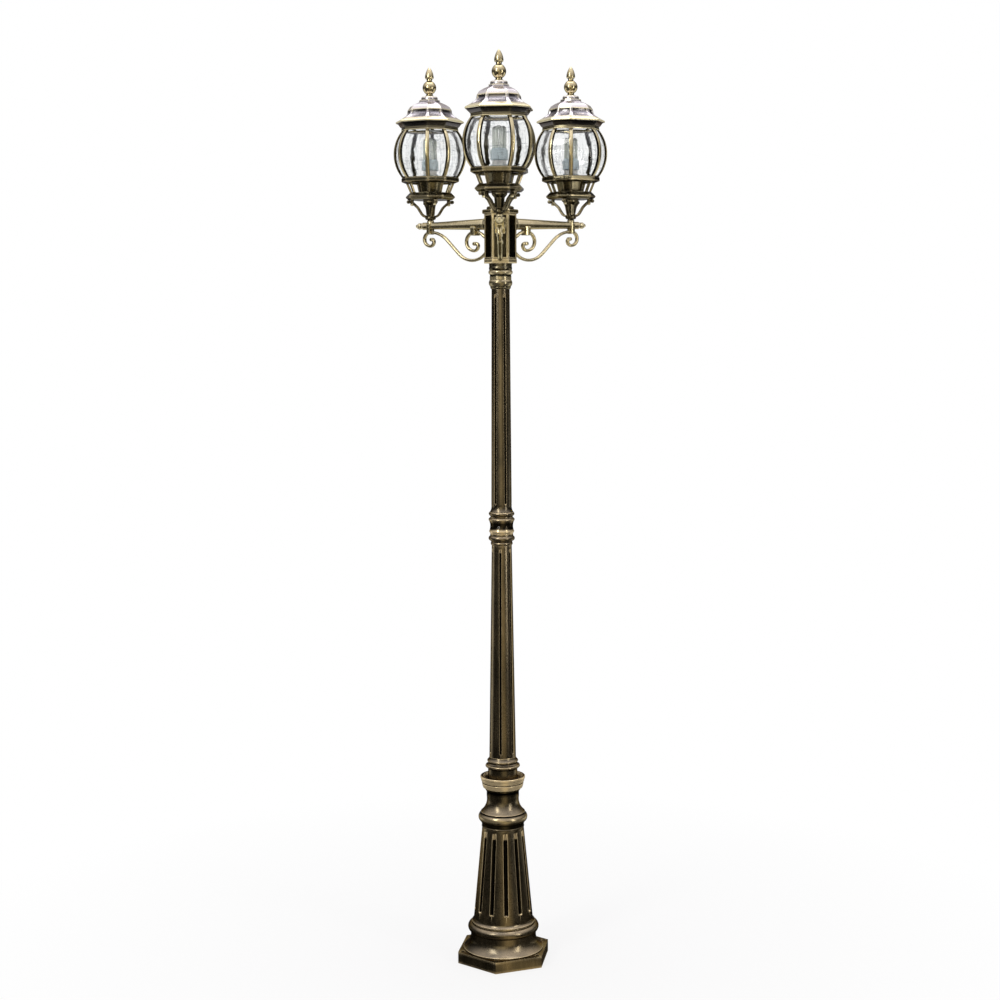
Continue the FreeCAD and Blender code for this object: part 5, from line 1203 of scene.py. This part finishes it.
class LAMP_OT_bulbs(bpy.types.Operator):
    """Builds the lampholders and folded-tube bulbs"""
    bl_idname = "lamp.bulbs"
    bl_label = "Bulbs"

    def execute(self, context):
        holder = lathe_mesh("holder", [
            (6.1, 1990.0), (15.0, 1990.0), (15.0, 2028.0), (16.7, 2029.0), (16.7, 2040.0),
            (13.3, 2040.0), (13.3, 2010.0), (6.1, 2010.0)], 0.5, 64)
        body = lathe_mesh("body", [
            (0.0, 2026.0), (9.2, 2026.0), (13.2, 2030.0), (13.2, 2041.0), (20.2, 2041.0),
            (21.2, 2043.0), (21.2, 2062.0), (16.3, 2069.0), (0.0, 2069.0)], 0.8, 64)
        ring = [(TUBE_RADIUS * math.cos(math.tau * k / 16),
                 TUBE_RADIUS * math.sin(math.tau * k / 16)) for k in range(16)]
        path = [Vector((-TUBE_HALF, 2066.0)), Vector((-TUBE_HALF, 2090.0))]
        for step in range(13):
            angle = math.pi - math.pi * step / 12.0
            path.append(Vector((TUBE_HALF * math.cos(angle),
                                TUBE_BEND + TUBE_HALF * math.sin(angle))))
        path.extend([Vector((TUBE_HALF, 2090.0)), Vector((TUBE_HALF, 2066.0))])
        tube = moved(sweep_mesh("tube", path, ring), Matrix.Translation(
            (0.0, -TUBE_OUT * MM, 0.0)) @ Matrix.Rotation(math.radians(90.0), 4, "Z"))
        tubes = joined("tubes", [moved(tube, Matrix.Rotation(math.radians(turn), 4, "Z"))
                                 for turn in (0.0, 120.0, 240.0)])
        for word, base in lanterns(context):
            piece("lampholder_" + word, moved(joined("holder", [holder]), base), "holder_white",
                  "post", ["socket_" + word])
            piece("bulb_body_" + word, moved(joined("body", [body]), base), "lamp_white",
                  "bulb_" + word, ["bulb_" + word])
            piece("bulb_tubes_" + word, moved(tubes, base), "opal_tube", "bulb_" + word, [])
        return {"FINISHED"}


class LAMP_OT_roofs(bpy.types.Operator):
    """Builds the lantern roofs and finials"""
    bl_idname = "lamp.roofs"
    bl_label = "Roofs and finials"

    def execute(self, context):
        tip = lathe_mesh("tip", [
            (4.05, 2225.0), (12.0, 2225.0), (12.0, 2227.0), (8.3, 2229.0), (8.3, 2232.7),
            (17.4, 2248.0, 0.26), (6.9, 2264.0, 0.28), (6.9, 2270.0), (10.2, 2270.0),
            (11.2, 2274.0), (1.2, 2299.0, 0.16), (0.0, 2300.0), (0.0, 2239.0), (4.05, 2239.0)],
            0.4, 72, 12)
        roof = roof_mesh()
        for word, base in lanterns(context):
            piece("roof_cast_" + word, moved(roof, base), "roof_bronze", "roof_" + word,
                  ["roof_" + word])
            piece("finial_turned_" + word, moved(joined("tip", [tip]), base),
                  "gilt_bronze", "finial_" + word, ["finial_" + word])
        return {"FINISHED"}


# ---------------------------------------------------------------- stage
FLOOR_HALF = 14.0
LIT_STRENGTH = 0.62
WHITE = (1.0, 1.0, 1.0)
# what the metal mirrors: the floor in front with one tan strip, and the room round it
FLOOR_DARK = (0.030, 0.027, 0.021)
FLOOR_TAN = (0.46, 0.38, 0.23)
STRIP_BEARING = 0.28
ROOM_DARK = (0.016, 0.017, 0.013)
WINDOW = (0.95, 0.84, 0.60)
CEILING = (1.20, 1.16, 1.26)
GROUND = (0.09, 0.06, 0.04)
# light: place, what it points at, width, height, share of the key's power, colour
LIGHTS = {
    "key": ((-2.4, -3.0, 3.4), (0.0, 0.0, 1.4), 0.9, 3.0, 1.0, (1.0, 0.98, 0.94)),
    "fill": ((3.0, -2.4, 1.8), (0.0, 0.0, 1.2), 0.5, 2.8, 0.45, (1.0, 0.96, 0.90)),
    "top": ((0.0, 0.6, 4.6), (0.0, 0.0, 2.0), 2.6, 2.6, 0.8, (0.95, 0.94, 1.0))}
# the camera's turns in degrees: round the post, then its own heading, pitch and roll
VIEW_BEARING = 0.49
VIEW_HEADING = 0.05
VIEW_DOWN = 6.208
VIEW_ROLL = -0.259


def floor_material():
    """Pale matt floor that looks white to the camera and still takes the shadow."""
    plain("floor_pale", (0.86, 0.86, 0.86), 0.85, 0.0, 3.0, 0.01)
    net = Net(MATERIALS["floor_pale"].node_tree)
    out = net.found("OUTPUT_MATERIAL")
    matt = net.found("BSDF_PRINCIPLED")
    white = net.new("ShaderNodeEmission")
    white.inputs["Strength"].default_value = 1.0
    path = net.new("ShaderNodeLightPath")
    seen = net.maths("MAXIMUM", path.outputs["Is Camera Ray"], path.outputs["Is Transmission Ray"])
    mirrored = path.outputs["Is Glossy Ray"]
    seen = net.maths("MAXIMUM", seen, mirrored)
    coords = net.coords()
    far = net.new("ShaderNodeVectorMath")
    far.operation = "LENGTH"
    net.link(coords, far.inputs[0])
    split = net.axes(coords)
    behind = net.remap(split["Y"], 0.2, 1.2)
    ahead = net.maths("MAXIMUM", net.maths("MULTIPLY", split["Y"], -1.0), 0.2)
    bearing = net.maths("DIVIDE", split["X"], ahead)
    away = net.maths("ABSOLUTE", net.maths("SUBTRACT", bearing, STRIP_BEARING))
    strip = net.remap(away, 0.10, 0.55, 1.0, 0.0)
    dim = net.blend(strip, FLOOR_DARK, FLOOR_TAN)
    dim = net.blend(behind, dim, WHITE)
    net.link(net.blend(mirrored, WHITE, dim), white.inputs["Color"])
    fade = net.remap(far.outputs["Value"], 0.25, 1.6, 0.80, 1.0)
    fade = net.maths("MAXIMUM", fade, mirrored)
    surface = net.mixed(net.maths("MULTIPLY", seen, fade), matt.outputs[0], white.outputs[0])
    net.link(surface, out.inputs["Surface"])


def studio_world(context):
    """White backdrop behind the lamp, soft bright ceiling, dim room in front and at the sides."""
    world = bpy.data.worlds.new("studio")
    world.use_nodes = True
    context.scene.world = world
    net = Net(world.node_tree)
    net.nodes.clear()
    out = net.new("ShaderNodeOutputWorld")
    split = net.axes(net.coords("Generated"))
    ceiling = net.remap(split["Z"], 0.20, 0.80)
    ground = net.remap(split["Z"], -0.70, -0.10, 1.0, 0.0)
    behind = net.remap(split["Y"], 0.70, 0.95)
    front = net.remap(split["Y"], -0.80, -0.98)
    side = net.remap(split["X"], 0.30, -0.02, 0.12, 1.0)
    window = net.maths("MULTIPLY", front, side)
    room = net.blend(window, ROOM_DARK, WINDOW)
    room = net.blend(ceiling, room, CEILING)
    room = net.blend(ground, room, GROUND)
    room = net.blend(behind, room, WHITE)
    lit = net.blend(net.remap(split["Z"], -0.6, 0.8), (0.50, 0.46, 0.42), (1.0, 0.98, 1.0))
    backs = []
    for colour, strength in ((lit, LIT_STRENGTH), (room, 1.0), (WHITE, 1.0)):
        back = net.new("ShaderNodeBackground")
        back.inputs["Strength"].default_value = strength
        net.feed(back.inputs["Color"], colour)
        backs.append(back.outputs[0])
    path = net.new("ShaderNodeLightPath")
    seen = net.maths("MAXIMUM", path.outputs["Is Camera Ray"], path.outputs["Is Transmission Ray"])
    surface = net.mixed(path.outputs["Is Glossy Ray"], backs[0], backs[1])
    net.link(net.mixed(seen, surface, backs[2]), out.inputs["Surface"])


class LAMP_OT_stage(bpy.types.Operator):
    """Builds the floor, backdrop, lights and camera"""
    bl_idname = "lamp.stage"
    bl_label = "Stage"

    def execute(self, context):
        stage = context.scene.lamp_stage
        mesh = bpy.data.meshes.new("floor")
        mesh.from_pydata([(x * FLOOR_HALF, y * FLOOR_HALF, 0.0) for x, y in (
            (-1, -1), (1, -1), (1, 1), (-1, 1))], [], [(0, 1, 2, 3)])
        floor = placed("floor", mesh)
        floor_material()
        mesh.materials.append(MATERIALS["floor_pale"])
        studio_world(context)
        for name, (spot, target, wide, tall, share, colour) in LIGHTS.items():
            data = bpy.data.lights.new(name, "AREA")
            data.shape = "RECTANGLE"
            data.size = wide
            data.size_y = tall
            data.energy = stage.key_power * share
            data.color = colour
            way = Vector(target) - Vector(spot)
            turn = way.to_track_quat("-Z", "Y").to_matrix().to_4x4()
            placed(name, data).matrix_world = Matrix.Translation(spot) @ turn
        data = bpy.data.cameras.new("view")
        data.lens = stage.focal
        data.sensor_width = 36.0
        data.sensor_fit = "AUTO"
        data.clip_end = 100.0
        camera = placed("view", data)
        spin = Matrix.Rotation(math.radians(VIEW_BEARING), 4, "Z")
        look = Matrix.Rotation(math.radians(VIEW_HEADING), 4, "Z")
        tilt = Matrix.Rotation(math.radians(90.0 - VIEW_DOWN), 4, "X")
        roll = Matrix.Rotation(math.radians(VIEW_ROLL), 4, "Z")
        place = Matrix.Translation((0.0, -stage.distance, stage.height))
        camera.matrix_world = spin @ place @ look @ tilt @ roll
        context.scene.camera = camera
        context.scene.view_settings.view_transform = "Standard"
        return {"FINISHED"}


class LAMP_PT_panel(bpy.types.Panel):
    bl_idname = "LAMP_PT_panel"
    bl_label = "Lamp post"
    bl_space_type = "VIEW_3D"
    bl_region_type = "UI"
    bl_category = "Lamp post"

    def draw(self, context):
        layout = self.layout
        for group in (context.scene.lamp_shape, context.scene.lamp_finish,
                      context.scene.lamp_stage):
            for word in group.__annotations__:
                layout.prop(group, word)
        for operator in STEPS:
            layout.operator(operator)


STEPS = ("lamp.materials", "lamp.foot", "lamp.pedestal", "lamp.shaft", "lamp.hub", "lamp.scrolls",
         "lamp.stands", "lamp.galleries", "lamp.cages", "lamp.bulbs", "lamp.roofs", "lamp.stage")
CLASSES = (LampShape, LampFinish, LampStage, LAMP_OT_materials, LAMP_OT_foot, LAMP_OT_pedestal,
           LAMP_OT_shaft, LAMP_OT_hub, LAMP_OT_scrolls, LAMP_OT_stands, LAMP_OT_galleries,
           LAMP_OT_cages, LAMP_OT_bulbs, LAMP_OT_roofs, LAMP_OT_stage, LAMP_PT_panel)


def register():
    for item in CLASSES:
        bpy.utils.register_class(item)
    bpy.types.Scene.lamp_shape = bpy.props.PointerProperty(type=LampShape)
    bpy.types.Scene.lamp_finish = bpy.props.PointerProperty(type=LampFinish)
    bpy.types.Scene.lamp_stage = bpy.props.PointerProperty(type=LampStage)


def unregister():
    del bpy.types.Scene.lamp_stage
    del bpy.types.Scene.lamp_finish
    del bpy.types.Scene.lamp_shape
    for item in reversed(CLASSES):
        bpy.utils.unregister_class(item)


def main():
    register()
    for step in STEPS:
        group, word = step.split(".")
        result = getattr(getattr(bpy.ops, group), word)()
        if "FINISHED" not in result:
            raise RuntimeError(step + " didn't finish")


if __name__ == "__main__":
    main()
